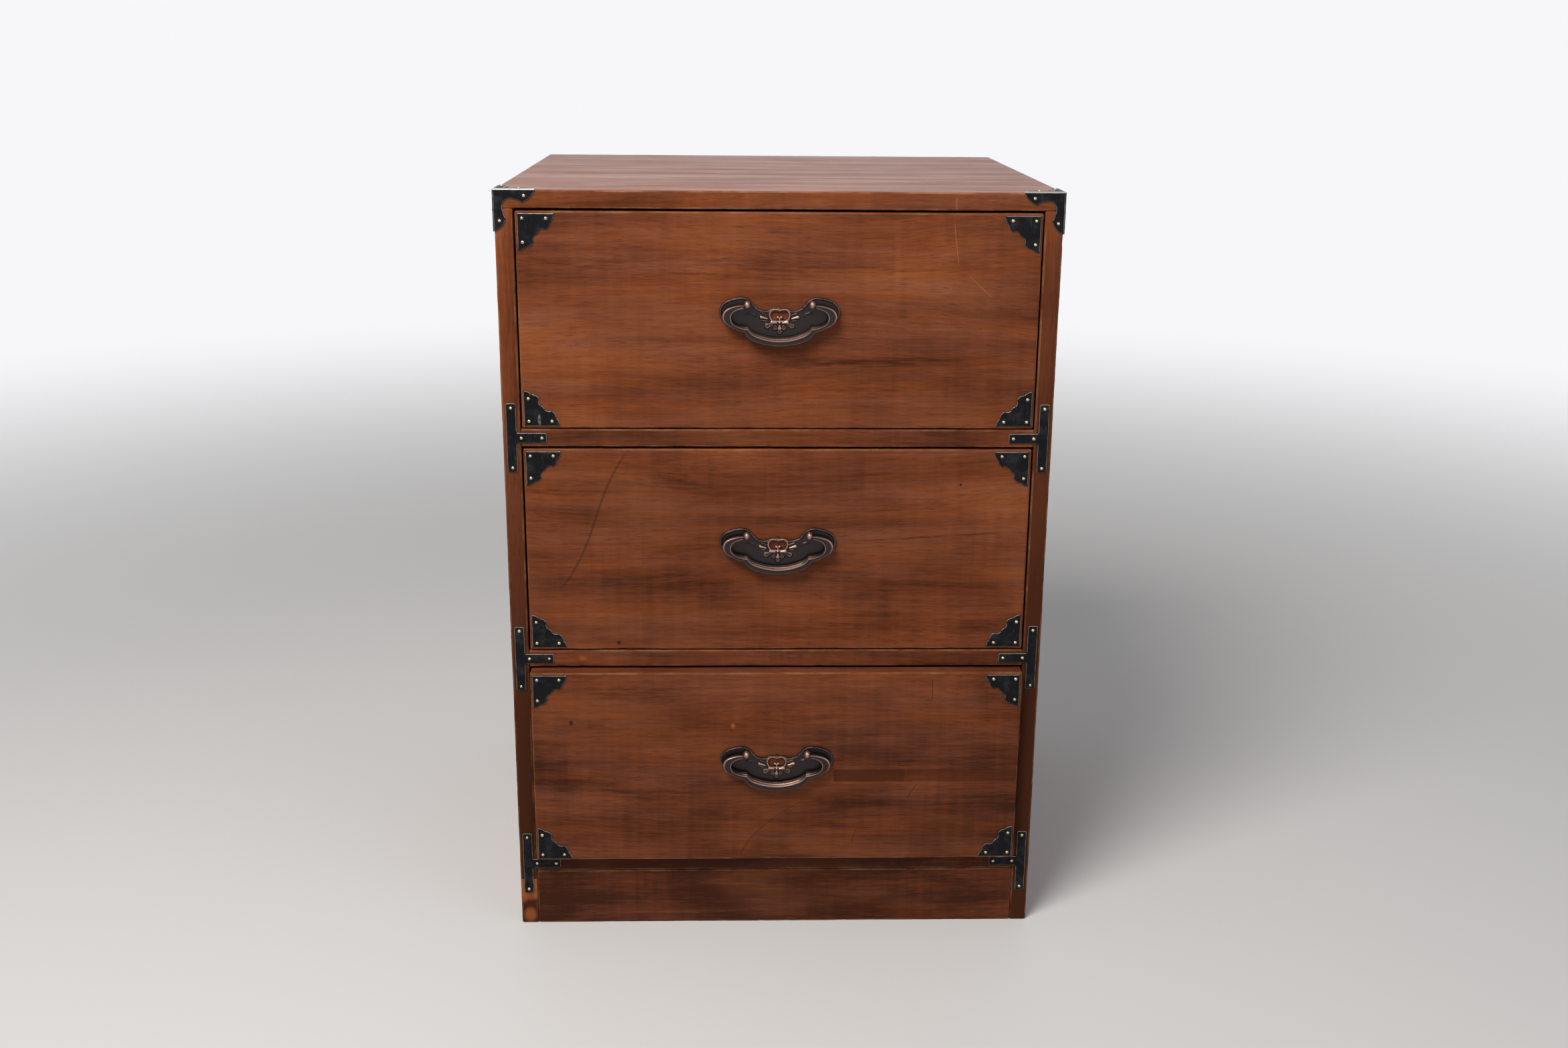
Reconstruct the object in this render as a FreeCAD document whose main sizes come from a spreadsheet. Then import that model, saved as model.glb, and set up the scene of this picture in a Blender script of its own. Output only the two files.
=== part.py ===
"""A small three-drawer chest in the tansu manner, in millimetres.

Two sides under a top board are tied by three rails and a plinth, and closed by a thin back. Each
inset drawer slides on a pair of runners. Its front carries four iron corner plates and a pull: a
pierced plate, two beaded posts and a bail that hangs between them.

+Z is up and the drawers open along -Y. The origin is on the floor, under the middle of the whole
chest with its pulls.
"""

import FreeCAD
import Part
import Sketcher
import math
import operator
import os

SIZES = {
    # case boards
    "case_width": 500.0,
    "case_depth": 460.0,
    "bay_height": 197.0,
    "top_thickness": 16.0,
    "side_thickness": 16.5,
    "rail_height": 16.5,
    "rail_depth": 60.0,
    "plinth_height": 57.0,
    "plinth_thickness": 16.5,
    "back_thickness": 5.0,
    "back_lap": 8.0,
    "back_fit": 0.3,
    "back_foot_gap": 20.0,
    # dowels and wood screws of the case
    "dowel_diameter": 6.0,
    "dowel_length": 22.0,
    "dowel_fit": 0.1,
    "dowel_end_room": 1.0,
    "top_dowel_margin": 60.0,
    "screw_shank": 3.5,
    "screw_head": 7.0,
    "screw_length": 25.0,
    "screw_fit": 0.1,
    "screw_margin": 45.0,
    # runners and stops
    "runner_width": 22.0,
    "runner_screw_sink": 9.0,
    "runner_end_gap": 0.3,
    "stop_height": 14.0,
    "stop_depth": 12.0,
    "stop_gap": 0.3,
    "runner_tail": 22.4,
    # drawers
    "front_thickness": 18.0,
    "front_side_gap": 1.5,
    "front_lower_gap": 1.0,
    "front_upper_gap": 2.0,
    "front_edge_ease": 1.5,
    "wall_thickness": 12.0,
    "wall_head_gap": 10.8,
    "wall_let_in": 8.0,
    "running_gap": 0.2,
    "rear_drop": 7.8,
    "rear_let_in": 4.0,
    "floor_thickness": 5.0,
    "floor_rise": 8.0,
    "groove_depth": 5.0,
    "joint_fit": 0.2,
    "lower_drawer_pull": 12.0,
    # round-headed nails
    "nail_head": 3.2,
    "nail_dome": 1.2,
    "nail_shank": 1.4,
    "nail_length": 8.0,
    "nail_fit": 0.1,
    # iron plates
    "iron_thickness": 1.0,
    "corner_leg": 32.0,
    "corner_inset": 2.2,
    "corner_tip_back": 3.4,
    "corner_tip_width": 7.2,
    "corner_lobe_back": 7.5,
    "corner_lobe_width": 13.6,
    "corner_waist_far": 18.4,
    "corner_waist_near": 15.0,
    "corner_nail_near": 4.2,
    "corner_nail_far": 25.0,
    "tee_bar_length": 64.0,
    "tee_bar_width": 9.0,
    "tee_arm_width": 9.3,
    "tee_arm_reach": 31.5,
    "tee_round": 1.6,
    "tee_nail_margin": 4.2,
    "cap_leg": 36.0,
    "cap_lobe_far": 24.7,
    "cap_lobe_width": 10.4,
    "cap_waist_far": 14.5,
    "cap_waist_width": 7.3,
    "cap_nail_far": 26.7,
    "cap_nail_edge": 5.0,
    "cap_nail_stagger": 4.6,
    # pull: posts
    "handle_rise": 16.6,
    "post_spacing": 57.8,
    "post_shank": 3.2,
    "post_fit": 0.2,
    "post_tail": 5.0,
    "post_neck": 4.8,
    "bead_standoff": 6.8,
    "bead_width": 5.8,
    "bead_height": 7.4,
    "bead_depth": 9.0,
    "nut_across": 6.0,
    "nut_thickness": 2.6,
    "thread_fit": 0.05,
    # pull: plate, measured outwards from a post and up from it
    "plate_thickness": 1.6,
    "plate_rim_width": 2.2,
    "plate_rim_height": 1.0,
    "plate_lobe_reach": 25.0,
    "plate_lobe_drop": 7.0,
    "plate_shoulder_reach": 19.1,
    "plate_shoulder_rise": 2.2,
    "plate_lobe_rise": 6.0,
    "plate_lobe_crown": 5.0,
    "plate_curl_outer": 6.6,
    "plate_curl_outer_drop": 1.0,
    "plate_curl_inner": 8.6,
    "plate_curl_inner_drop": 3.2,
    "plate_foot_reach": 19.5,
    "plate_foot_drop": 17.6,
    "plate_cusp_reach": 1.7,
    "plate_cusp_drop": 24.9,
    "plate_base_back": 7.4,
    "plate_base_drop": 32.4,
    "plate_base_sag": 3.7,
    # pull: crest and palmette of the plate, measured from its middle and down from the posts
    "crest_shoulder": 10.3,
    "crest_shoulder_drop": 5.8,
    "crest_notch": 3.2,
    "crest_notch_drop": 4.1,
    "crest_peak_drop": 2.3,
    "eye_base": 5.2,
    "eye_base_drop": 14.5,
    "eye_reach": 7.8,
    "eye_drop": 10.0,
    "eye_shoulder": 4.9,
    "eye_shoulder_drop": 6.0,
    "eye_notch_drop": 6.9,
    "eye_rim_width": 2.2,
    "eye_rim_height": 1.1,
    "tongue_cleft": 0.8,
    "tongue_head_drop": 10.8,
    "tongue_width": 4.8,
    "tongue_bead_drop": 11.9,
    "tongue_neck": 1.6,
    "tongue_neck_drop": 13.2,
    "petal_height": 1.4,
    "petal_width": 4.2,
    "petal_length": 8.6,
    "petal_hub_drop": 15.6,
    "petal_near": 4.0,
    "petal_fan": 66.0,
    "leaf_reach": 14.0,
    "leaf_drop": 12.5,
    "leaf_length": 8.4,
    "leaf_width": 2.6,
    # pull: bail, measured outwards from a post and down from its bead
    "pivot_drop": 1.6,
    "pin_diameter": 2.4,
    "pin_fit": 0.08,
    "pin_depth": 2.4,
    "pin_end_room": 0.3,
    "pin_root": 1.0,
    "bail_thickness": 5.5,
    "bail_end_gap": 0.6,
    "bail_arm_width": 2.8,
    "bail_shoulder_reach": 16.6,
    "bail_shoulder_drop": 2.6,
    "bail_shoulder_width": 5.6,
    "bail_lobe_reach": 22.6,
    "bail_lobe_drop": 10.0,
    "bail_lobe_width": 7.9,
    "bail_foot_reach": 17.9,
    "bail_foot_drop": 18.6,
    "bail_foot_width": 7.3,
    "bail_cusp_reach": 2.7,
    "bail_cusp_drop": 25.8,
    "bail_cusp_width": 4.6,
    "bail_base_back": 6.9,
    "bail_base_drop": 33.8,
    "bail_base_sag": 3.9,
    "bail_bar_width": 5.2,
    "bail_inner_bevel": 3.0,
    "bail_outer_bevel": 0.9,
}

# How far an arc bows out for its half chord: a quarter circle, and the rounder and flatter sweeps
# of the ironwork. A positive bow is outwards, a negative one inwards.
QUARTER = math.tan(math.radians(22.5))
FULL = 0.39
ROUND = 0.27
EASY = 0.18
SLIGHT = 0.1

OPERATIONS = {"+": operator.add, "-": operator.sub, "*": operator.mul, "/": operator.truediv}

doc = FreeCAD.newDocument("chest")
sheet = doc.addObject("Spreadsheet::Sheet", "Sizes")
for row, (alias, size_value) in enumerate(SIZES.items(), start=1):
    sheet.set(f"A{row}", alias.replace("_", " "))
    sheet.set(f"B{row}", str(size_value))
    sheet.setAlias(f"B{row}", alias)
doc.recompute()


class Size:
    """A length that keeps the sheet formula it comes from beside its number."""

    def __init__(self, formula, number):
        self.formula = formula
        self.number = number

    def __add__(self, other):
        return combine(self, "+", other)

    def __radd__(self, other):
        return combine(other, "+", self)

    def __sub__(self, other):
        return combine(self, "-", other)

    def __rsub__(self, other):
        return combine(other, "-", self)

    def __mul__(self, other):
        return combine(self, "*", other)

    def __rmul__(self, other):
        return combine(other, "*", self)

    def __truediv__(self, other):
        return combine(self, "/", other)

    def __neg__(self):
        return combine(0, "-", self)


def as_size(thing):
    """A plain number becomes a Size whose formula is that number."""
    if isinstance(thing, Size):
        return thing
    return Size(f"{float(thing):.9f}", float(thing))


def combine(left, sign, right):
    """Join two lengths by an operation, in the formula and in the number alike."""
    left = as_size(left)
    right = as_size(right)
    return Size(f"({left.formula} {sign} {right.formula})", OPERATIONS[sign](left.number, right.number))


def root(size):
    return Size(f"sqrt({size.formula})", math.sqrt(size.number))


def cell(alias):
    return Size(f"Sizes.{alias}", float(sheet.get(alias)))


S = {alias: cell(alias) for alias in SIZES}


# Binding and placing

def bind(thing, **sizes):
    """Tie properties of a document object to the sheet."""
    for name, size in sizes.items():
        thing.setExpression(name, as_size(size).formula)
    return thing


def turn(axis, degrees):
    return FreeCAD.Rotation(FreeCAD.Vector(*axis), degrees)


UNTURNED = turn((0, 0, 1), 0)
TO_BACK = UNTURNED
TO_FRONT = turn((0, 0, 1), 180)
TO_LEFT = turn((0, 0, 1), 90)
TO_RIGHT = turn((0, 0, 1), -90)
TO_FLOOR = turn((1, 0, 0), -90)


def place(thing, spot, rotation=UNTURNED):
    """Turn an object, then tie its position to the sheet."""
    thing.Placement = FreeCAD.Placement(FreeCAD.Vector(), rotation)
    for axis, size in zip("xyz", spot):
        thing.setExpression(f"Placement.Base.{axis}", as_size(size).formula)
    return thing


# Boards, groups and cuts

def board(name, low, high):
    """A box between two corners, given in either order along each axis."""
    box = doc.addObject("Part::Box", name)
    spans = [sorted(map(as_size, pair), key=lambda size: size.number) for pair in zip(low, high)]
    lengths = [top - bottom for bottom, top in spans]
    bind(box, Length=lengths[0], Width=lengths[1], Height=lengths[2])
    return place(box, [bottom for bottom, top in spans])


def rod(name, diameter, length):
    """A cylinder along Z from the origin."""
    return bind(doc.addObject("Part::Cylinder", name), Radius=diameter / 2, Height=length)


def gathered(name, things):
    """Separate solids kept together as one compound."""
    compound = doc.addObject("Part::Compound", name)
    compound.Links = things
    return compound


def group(name, source, places):
    """Copies of one solid at many (spot, rotation) places."""
    copies = []
    for number, (spot, rotation) in enumerate(places):
        copy = doc.addObject("App::Link", f"{name}_copy{number}")
        copy.LinkedObject = source
        copies.append(place(copy, spot, rotation))
    return gathered(name, copies)


def cut(name, blank, *tools):
    """A blank with each tool taken out of it in turn."""
    for number, tool in enumerate(tools, start=1):
        step = doc.addObject("Part::Cut", name if number == len(tools) else f"{name}_cut{number}")
        step.Base = blank
        step.Tool = tool
        blank = step
    return blank


def fused(name, things):
    fusion = doc.addObject("Part::MultiFuse", name)
    fusion.Shapes = things
    return fusion


# Sketches and bodies

def new_body(name, spot=(0, 0, 0), rotation=UNTURNED):
    return place(doc.addObject("PartDesign::Body", name), spot, rotation)


def new_sketch(body, name, role, lift=0):
    """A sketch on one of the body's own planes, lifted along the plane's normal."""
    sketch = body.newObject("Sketcher::SketchObject", name)
    plane = next(feature for feature in body.Origin.OriginFeatures if feature.Role == role)
    sketch.AttachmentSupport = (plane, [""])
    sketch.MapMode = "FlatFace"
    bind(sketch, **{"AttachmentOffset.Base.z": lift})
    return sketch


def flat(corner):
    return FreeCAD.Vector(corner[0].number, corner[1].number, 0)


def point_rules(geometry, end, corner):
    """The rules that tie one end of an edge, or a centre, to its two coordinates."""
    return [
        (Sketcher.Constraint(kind, -1, 1, geometry, end, size.number), size.formula)
        for kind, size in zip(("DistanceX", "DistanceY"), corner)
    ]


def radius_rule(geometry, radius):
    return Sketcher.Constraint("Radius", geometry, radius.number), radius.formula


def add_rules(sketch, rules):
    """Add (constraint, formula) rules to a sketch together, and tie each one that has a formula."""
    numbers = sketch.addConstraint([constraint for constraint, formula in rules])
    for number, (constraint, formula) in zip(numbers, rules):
        if formula:
            sketch.setExpression(f"Constraints[{number}]", formula)


def arc_radius(first, second, bow):
    """The radius of the arc over a chord that bows out by that share of its half chord."""
    across = second[0] - first[0]
    along = second[1] - first[1]
    return root(across * across + along * along) * ((1 + bow * bow) / (4 * abs(bow)))


def outline(sketch, corners, bows):
    """A closed loop through corners, anticlockwise, with one bow for the edge after each corner."""
    corners = [(as_size(across), as_size(along)) for across, along in corners]
    ends = []
    rules = []
    for first, second, bow in zip(corners, corners[1:] + corners[:1], bows):
        start = flat(first)
        stop = flat(second)
        if bow == 0:
            edge = sketch.addGeometry(Part.LineSegment(start, stop), False)
            ends.append((edge, 1, 2))
            continue
        chord = stop - start
        middle = (start + stop) / 2 + FreeCAD.Vector(chord.y, -chord.x, 0) * (bow / 2)
        if bow > 0:
            edge = sketch.addGeometry(Part.Arc(start, middle, stop), False)
            ends.append((edge, 1, 2))
        else:
            edge = sketch.addGeometry(Part.Arc(stop, middle, start), False)
            ends.append((edge, 2, 1))
        rules.append(radius_rule(edge, arc_radius(first, second, bow)))
    for (edge, start_end, stop_end), (after, after_start, after_stop) in zip(ends, ends[1:] + ends[:1]):
        rules.append((Sketcher.Constraint("Coincident", edge, stop_end, after, after_start), None))
    for (edge, start_end, stop_end), corner in zip(ends, corners):
        rules += point_rules(edge, start_end, corner)
    add_rules(sketch, rules)


def circle(sketch, centre, radius):
    centre = (as_size(centre[0]), as_size(centre[1]))
    ring = sketch.addGeometry(Part.Circle(flat(centre), FreeCAD.Vector(0, 0, 1), radius.number), False)
    add_rules(sketch, point_rules(ring, 3, centre) + [radius_rule(ring, radius)])


def mirrored(right, bows, base_bow, top_bow=None):
    """The right half of an outline, from its base upwards, made whole.

    With no bow for a top edge, the last corner lies on the middle line and is shared.
    """
    left = [(-across, along) for across, along in reversed(right)]
    if top_bow is None:
        return right + left[1:], bows + bows[::-1] + [base_bow]
    return right + left, bows + [top_bow] + bows[::-1] + [base_bow]


def pad(body, sketch, length, reverse=False):
    feature = body.newObject("PartDesign::Pad", f"{sketch.Name}_pad")
    feature.Profile = sketch
    feature.Reversed = reverse
    return bind(feature, Length=length)


def pocket_through(body, sketch):
    """A cut along the sketch's own normal, right through the solid."""
    feature = body.newObject("PartDesign::Pocket", f"{sketch.Name}_pocket")
    feature.Profile = sketch
    feature.Type = "ThroughAll"
    feature.Reversed = True
    return feature


def revolve(body, sketch):
    feature = body.newObject("PartDesign::Revolution", f"{sketch.Name}_turned")
    feature.Profile = sketch
    feature.ReferenceAxis = (sketch, ["V_Axis"])
    feature.Angle = 360
    return feature


parts = []


def keep(thing, label, solids=1):
    """Give a finished sub-part its own label and mark it for export, with how many solids it has."""
    thing.Label = label
    parts.append((thing, solids))
    return thing


# Levels and planes that the pieces share

half_width = S["case_width"] / 2
side_inner = half_width - S["side_thickness"]
bay_width = side_inner * 2
pull_reach = S["bead_standoff"] + S["bead_depth"] / 2
front_reach = S["lower_drawer_pull"] + pull_reach
front_y = (front_reach - S["case_depth"]) / 2
rear_y = front_y + S["case_depth"]
bay_pitch = S["rail_height"] + S["bay_height"]
rail_floors = {
    "bottom": S["plinth_height"],
    "lower": S["plinth_height"] + bay_pitch,
    "upper": S["plinth_height"] + bay_pitch * 2,
}
top_floor = S["plinth_height"] + bay_pitch * 3
case_height = top_floor + S["top_thickness"]
back_front_y = rear_y - S["back_thickness"]
runner_start = front_y + S["rail_depth"]
runner_end = back_front_y - S["runner_end_gap"]
stop_rear = runner_end - S["runner_tail"]
stop_front = stop_rear - S["stop_depth"]
drawer_depth = stop_front - S["stop_gap"] - front_y
lap_half = side_inner + S["back_lap"]
SIDES = {"left": -1, "right": 1}

# Each drawer with the rail that it stands on and how far it is drawn out
DRAWERS = {
    "upper": ("upper", as_size(0)),
    "middle": ("lower", as_size(0)),
    "lower": ("bottom", S["lower_drawer_pull"]),
}


# Fastener masters: a head at the origin and a shank along +Y

def nail_master():
    """A dome-headed nail, turned about its length."""
    body = new_body("nail_master")
    sketch = new_sketch(body, "nail_profile", "XY_Plane")
    head = S["nail_head"] / 2
    shank = S["nail_shank"] / 2
    corners = [
        (0, -S["nail_dome"]),
        (head, 0),
        (shank, 0),
        (shank, S["nail_length"] - shank),
        (0, S["nail_length"]),
    ]
    outline(sketch, corners, [FULL, 0, 0, 0, 0])
    revolve(body, sketch)
    return body


def screw_master():
    """A countersunk wood screw, turned about its length."""
    body = new_body("screw_master")
    sketch = new_sketch(body, "screw_profile", "XY_Plane")
    head = S["screw_head"] / 2
    shank = S["screw_shank"] / 2
    corners = [
        (0, 0),
        (head, 0),
        (shank, head - shank),
        (shank, S["screw_length"] - shank * 2),
        (0, S["screw_length"]),
    ]
    outline(sketch, corners, [0, 0, 0, 0, 0])
    revolve(body, sketch)
    return body


def screw_hole_master():
    """The countersunk hole for a screw, with a bore above the head where the screw is sunk."""
    body = new_body("screw_hole_master")
    sketch = new_sketch(body, "screw_hole_profile", "XY_Plane")
    head = S["screw_head"] / 2 + S["screw_fit"]
    shank = S["screw_shank"] / 2 + S["screw_fit"]
    depth = S["screw_length"] + S["screw_fit"]
    above = -S["runner_screw_sink"] * 2
    corners = [(0, above), (head, above), (head, 0), (shank, head - shank), (shank, depth), (0, depth)]
    outline(sketch, corners, [0, 0, 0, 0, 0, 0])
    revolve(body, sketch)
    return body


nail = nail_master()
nail_hole = rod("nail_hole_master", S["nail_shank"] + S["nail_fit"] * 2, S["nail_length"] + S["nail_fit"])
screw = screw_master()
screw_hole = screw_hole_master()
dowel = rod("dowel_master", S["dowel_diameter"], S["dowel_length"])
dowel_bore = S["dowel_diameter"] + S["dowel_fit"] * 2
dowel_hole = rod("dowel_hole_master", dowel_bore, S["dowel_length"] + S["dowel_end_room"] * 2)

# A cylinder's own length runs along Z: turned so, it runs along the named way
ROD_TURNS = {
    "TO_BACK": turn((1, 0, 0), -90),
    "TO_LEFT": turn((0, 1, 0), -90),
    "TO_RIGHT": turn((0, 1, 0), 90),
    "TO_FLOOR": turn((1, 0, 0), 180),
}
WAYS = {
    "TO_BACK": TO_BACK,
    "TO_FRONT": TO_FRONT,
    "TO_LEFT": TO_LEFT,
    "TO_RIGHT": TO_RIGHT,
    "TO_FLOOR": TO_FLOOR,
}


def nails_and_holes(name, spots):
    """The nails at (spot, way) and the holes that they need, from the same places."""
    nails = group(name, nail, [(spot, WAYS[way]) for spot, way in spots])
    holes = group(f"{name}_holes", nail_hole, [(spot, ROD_TURNS[way]) for spot, way in spots])
    return nails, holes


# Case joinery

def dowel_spots():
    """The middle of each dowel, on the joint that it crosses, and the way it runs."""
    spots = []
    for sign in SIDES.values():
        joint = side_inner * sign
        for rail_floor in rail_floors.values():
            for share in (0.25, 0.75):
                centre = (joint, front_y + S["rail_depth"] * share, rail_floor + S["rail_height"] / 2)
                spots.append((centre, "TO_RIGHT"))
        for share in (0.25, 0.5):
            centre = (joint, front_y + S["plinth_thickness"] / 2, S["plinth_height"] * share)
            spots.append((centre, "TO_RIGHT"))
        over_side = (half_width - S["side_thickness"] / 2) * sign
        for depth in (
            front_y + S["top_dowel_margin"],
            front_y + S["case_depth"] / 2,
            rear_y - S["top_dowel_margin"],
        ):
            spots.append(((over_side, depth, top_floor), "TO_FLOOR"))
    return spots


def rods_about(spots, length):
    """Places for rods of that length whose middles lie on the spots."""
    places = []
    for (across, depth, level), way in spots:
        if way == "TO_RIGHT":
            start = (across - length / 2, depth, level)
        else:
            start = (across, depth, level + length / 2)
        places.append((start, ROD_TURNS[way]))
    return places


def screw_spots():
    """The screws of the runners and of the back, each at the face that its head sits under."""
    spots = []
    head_at = side_inner - S["runner_width"] + S["runner_screw_sink"]
    for sign, way in ((-1, "TO_LEFT"), (1, "TO_RIGHT")):
        for rail_floor in rail_floors.values():
            level = rail_floor + S["rail_height"] / 2
            for depth in (
                runner_start + S["screw_margin"],
                (runner_start + runner_end) / 2,
                runner_end - S["screw_margin"],
            ):
                spots.append(((head_at * sign, depth, level), way))
        column = (side_inner + S["back_lap"] / 2) * sign
        for level in (
            S["back_foot_gap"] + S["screw_margin"],
            S["back_foot_gap"] + (top_floor - S["back_foot_gap"]) / 3,
            S["back_foot_gap"] + (top_floor - S["back_foot_gap"]) * 2 / 3,
            top_floor - S["screw_margin"],
        ):
            spots.append(((column, rear_y, level), "TO_FRONT"))
    for share in (-0.5, 0, 0.5):
        spots.append(((side_inner * share, rear_y, top_floor + S["back_lap"] / 2), "TO_FRONT"))
    return spots


dowel_places = dowel_spots()
dowel_holes = group(
    "dowel_holes", dowel_hole, rods_about(dowel_places, S["dowel_length"] + S["dowel_end_room"] * 2)
)
screw_places = [(spot, WAYS[way]) for spot, way in screw_spots()]
screw_holes = group("screw_holes", screw_hole, screw_places)


def iron_nail_spots():
    """The nails of the tee plates and corner caps, each at the face of its plate."""
    spots = []
    face = front_y - S["iron_thickness"]
    edge = S["cap_nail_edge"]
    reach_down = S["tee_bar_length"] / 2 - S["tee_nail_margin"]
    arm_in = S["tee_bar_width"] / 2 + S["tee_nail_margin"]
    arm_out = S["tee_arm_reach"] - S["tee_nail_margin"]
    on_side = half_width - S["side_thickness"] / 2
    far_front = S["cap_nail_far"]
    far_top = far_front - S["cap_nail_stagger"]
    far_side = far_top - S["cap_nail_stagger"]
    top_face = case_height + S["iron_thickness"]
    side_face = half_width + S["iron_thickness"]
    for sign, inwards in ((-1, "TO_RIGHT"), (1, "TO_LEFT")):
        for rail_floor in rail_floors.values():
            middle = rail_floor + S["rail_height"] / 2
            spots += [
                ((on_side * sign, face, middle + reach_down), "TO_BACK"),
                ((on_side * sign, face, middle - reach_down), "TO_BACK"),
                (((on_side - arm_in) * sign, face, middle), "TO_BACK"),
                (((on_side - arm_out) * sign, face, middle), "TO_BACK"),
            ]
        spots += [
            (((half_width - far_front) * sign, face, case_height - edge), "TO_BACK"),
            (((half_width - edge) * sign, face, case_height - far_front), "TO_BACK"),
            (((half_width - far_top) * sign, front_y + edge, top_face), "TO_FLOOR"),
            (((half_width - edge) * sign, front_y + far_top, top_face), "TO_FLOOR"),
            ((side_face * sign, front_y + far_side, case_height - edge), inwards),
            ((side_face * sign, front_y + edge, case_height - far_side), inwards),
        ]
    return spots


case_nail_spots = iron_nail_spots()
case_nails, case_nail_holes = nails_and_holes("case_nails", case_nail_spots)


# Case boards

def make_case():
    """Sides, top, back, rails and plinth, bored and rebated for what joins them."""
    bored = (dowel_holes, screw_holes, case_nail_holes)
    for side, sign in SIDES.items():
        blank = board(
            f"{side}_side_blank", (side_inner * sign, front_y, 0), (half_width * sign, rear_y, top_floor)
        )
        rebate = board(
            f"{side}_side_rebate", (side_inner * sign, back_front_y, 0), (lap_half * sign, rear_y, top_floor)
        )
        keep(cut(f"{side}_side", blank, rebate, *bored), f"{side}_side")
    blank = board("top_blank", (-half_width, front_y, top_floor), (half_width, rear_y, case_height))
    rebate = board(
        "top_rebate", (-lap_half, back_front_y, top_floor), (lap_half, rear_y, top_floor + S["back_lap"])
    )
    keep(cut("top_panel", blank, rebate, *bored), "top_panel")
    back_half = lap_half - S["back_fit"]
    back_head = top_floor + S["back_lap"] - S["back_fit"]
    foot = S["back_foot_gap"]
    blank = board("back_blank", (-back_half, back_front_y, foot), (back_half, rear_y, back_head))
    keep(cut("back_panel", blank, screw_holes), "back_panel")
    for name, rail_floor in rail_floors.items():
        blank = board(
            f"{name}_rail_blank",
            (-side_inner, front_y, rail_floor),
            (side_inner, front_y + S["rail_depth"], rail_floor + S["rail_height"]),
        )
        keep(cut(f"{name}_rail", blank, dowel_holes, case_nail_holes), f"{name}_rail")
    plinth_rear = front_y + S["plinth_thickness"]
    blank = board("plinth_blank", (-side_inner, front_y, 0), (side_inner, plinth_rear, S["plinth_height"]))
    keep(cut("plinth_board", blank, dowel_holes), "plinth_board")
    dowels = group("case_dowels", dowel, rods_about(dowel_places, S["dowel_length"]))
    keep(dowels, "case_dowels", len(dowel_places))
    keep(group("case_screws", screw, screw_places), "case_screws", len(screw_places))


def make_runners():
    """A runner on each side of each bay, level with its rail, and a stop block on its rear end."""
    stops = []
    for drawer in DRAWERS:
        runner_floor = rail_floors[DRAWERS[drawer][0]]
        runner_top = runner_floor + S["rail_height"]
        for side, sign in SIDES.items():
            inner = (side_inner - S["runner_width"]) * sign
            name = f"{drawer}_{side}_runner"
            blank = board(
                f"{name}_blank",
                (inner, runner_start, runner_floor),
                (side_inner * sign, runner_end, runner_top),
            )
            keep(cut(name, blank, screw_holes), name)
            stop_end = (side_inner * sign, stop_rear, runner_top + S["stop_height"])
            stops.append(board(f"{drawer}_{side}_stop", (inner, stop_front, runner_top), stop_end))
    keep(gathered("drawer_stops", stops), "drawer_stops", len(stops))


# Case ironwork

def tee_plate(name, sign, middle):
    """A bar across the joint with an arm along the rail, rounded at its ends and pierced for nails."""
    on_side = half_width - S["side_thickness"] / 2
    rotation = UNTURNED if sign < 0 else turn((0, 1, 0), 180)
    body = new_body(name, (on_side * sign, front_y, middle), rotation)
    sketch = new_sketch(body, f"{name}_outline", "XZ_Plane")
    bar = S["tee_bar_width"] / 2
    tall = S["tee_bar_length"] / 2
    arm = S["tee_arm_width"] / 2
    reach = S["tee_arm_reach"]
    soft = S["tee_round"]
    corners = [
        (soft - bar, -tall), (bar - soft, -tall), (bar, soft - tall), (bar, -arm),
        (reach - soft, -arm), (reach, soft - arm), (reach, arm - soft), (reach - soft, arm),
        (bar, arm), (bar, tall - soft), (bar - soft, tall), (soft - bar, tall),
        (-bar, tall - soft), (-bar, soft - tall),
    ]
    bows = [0, QUARTER, 0, 0, QUARTER, 0, QUARTER, 0, 0, QUARTER, 0, QUARTER, 0, QUARTER]
    outline(sketch, corners, bows)
    hole = S["nail_shank"] / 2 + S["nail_fit"]
    nail_level = tall - S["tee_nail_margin"]
    for centre in (
        (0, nail_level),
        (0, -nail_level),
        (bar + S["tee_nail_margin"], 0),
        (reach - S["tee_nail_margin"], 0),
    ):
        circle(sketch, centre, hole)
    pad(body, sketch, S["iron_thickness"])
    return body


def cap_face(body, name, role, across_sign, along_sign, nail_far, reverse):
    """One leaf of a corner cap: two lobed legs from the corner, pierced for two nails."""
    sketch = new_sketch(body, name, role)
    wrap = -S["iron_thickness"]
    leg = S["cap_leg"]
    lobe = (S["cap_lobe_far"], S["cap_lobe_width"])
    waist = (S["cap_waist_far"], S["cap_waist_width"])
    half = [(wrap, wrap), (leg, wrap), lobe, waist]
    corners = half + [(along, across) for across, along in half[:0:-1]]
    bows = [0, ROUND, -SLIGHT, -QUARTER, -SLIGHT, ROUND, 0]
    corners = [(across * across_sign, along * along_sign) for across, along in corners]
    if across_sign * along_sign < 0:
        corners = corners[:1] + corners[:0:-1]
        bows = bows[::-1]
    outline(sketch, corners, bows)
    hole = S["nail_shank"] / 2 + S["nail_fit"]
    for across, along in ((nail_far, S["cap_nail_edge"]), (S["cap_nail_edge"], nail_far)):
        circle(sketch, (across * across_sign, along * along_sign), hole)
    pad(body, sketch, S["iron_thickness"], reverse)


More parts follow.
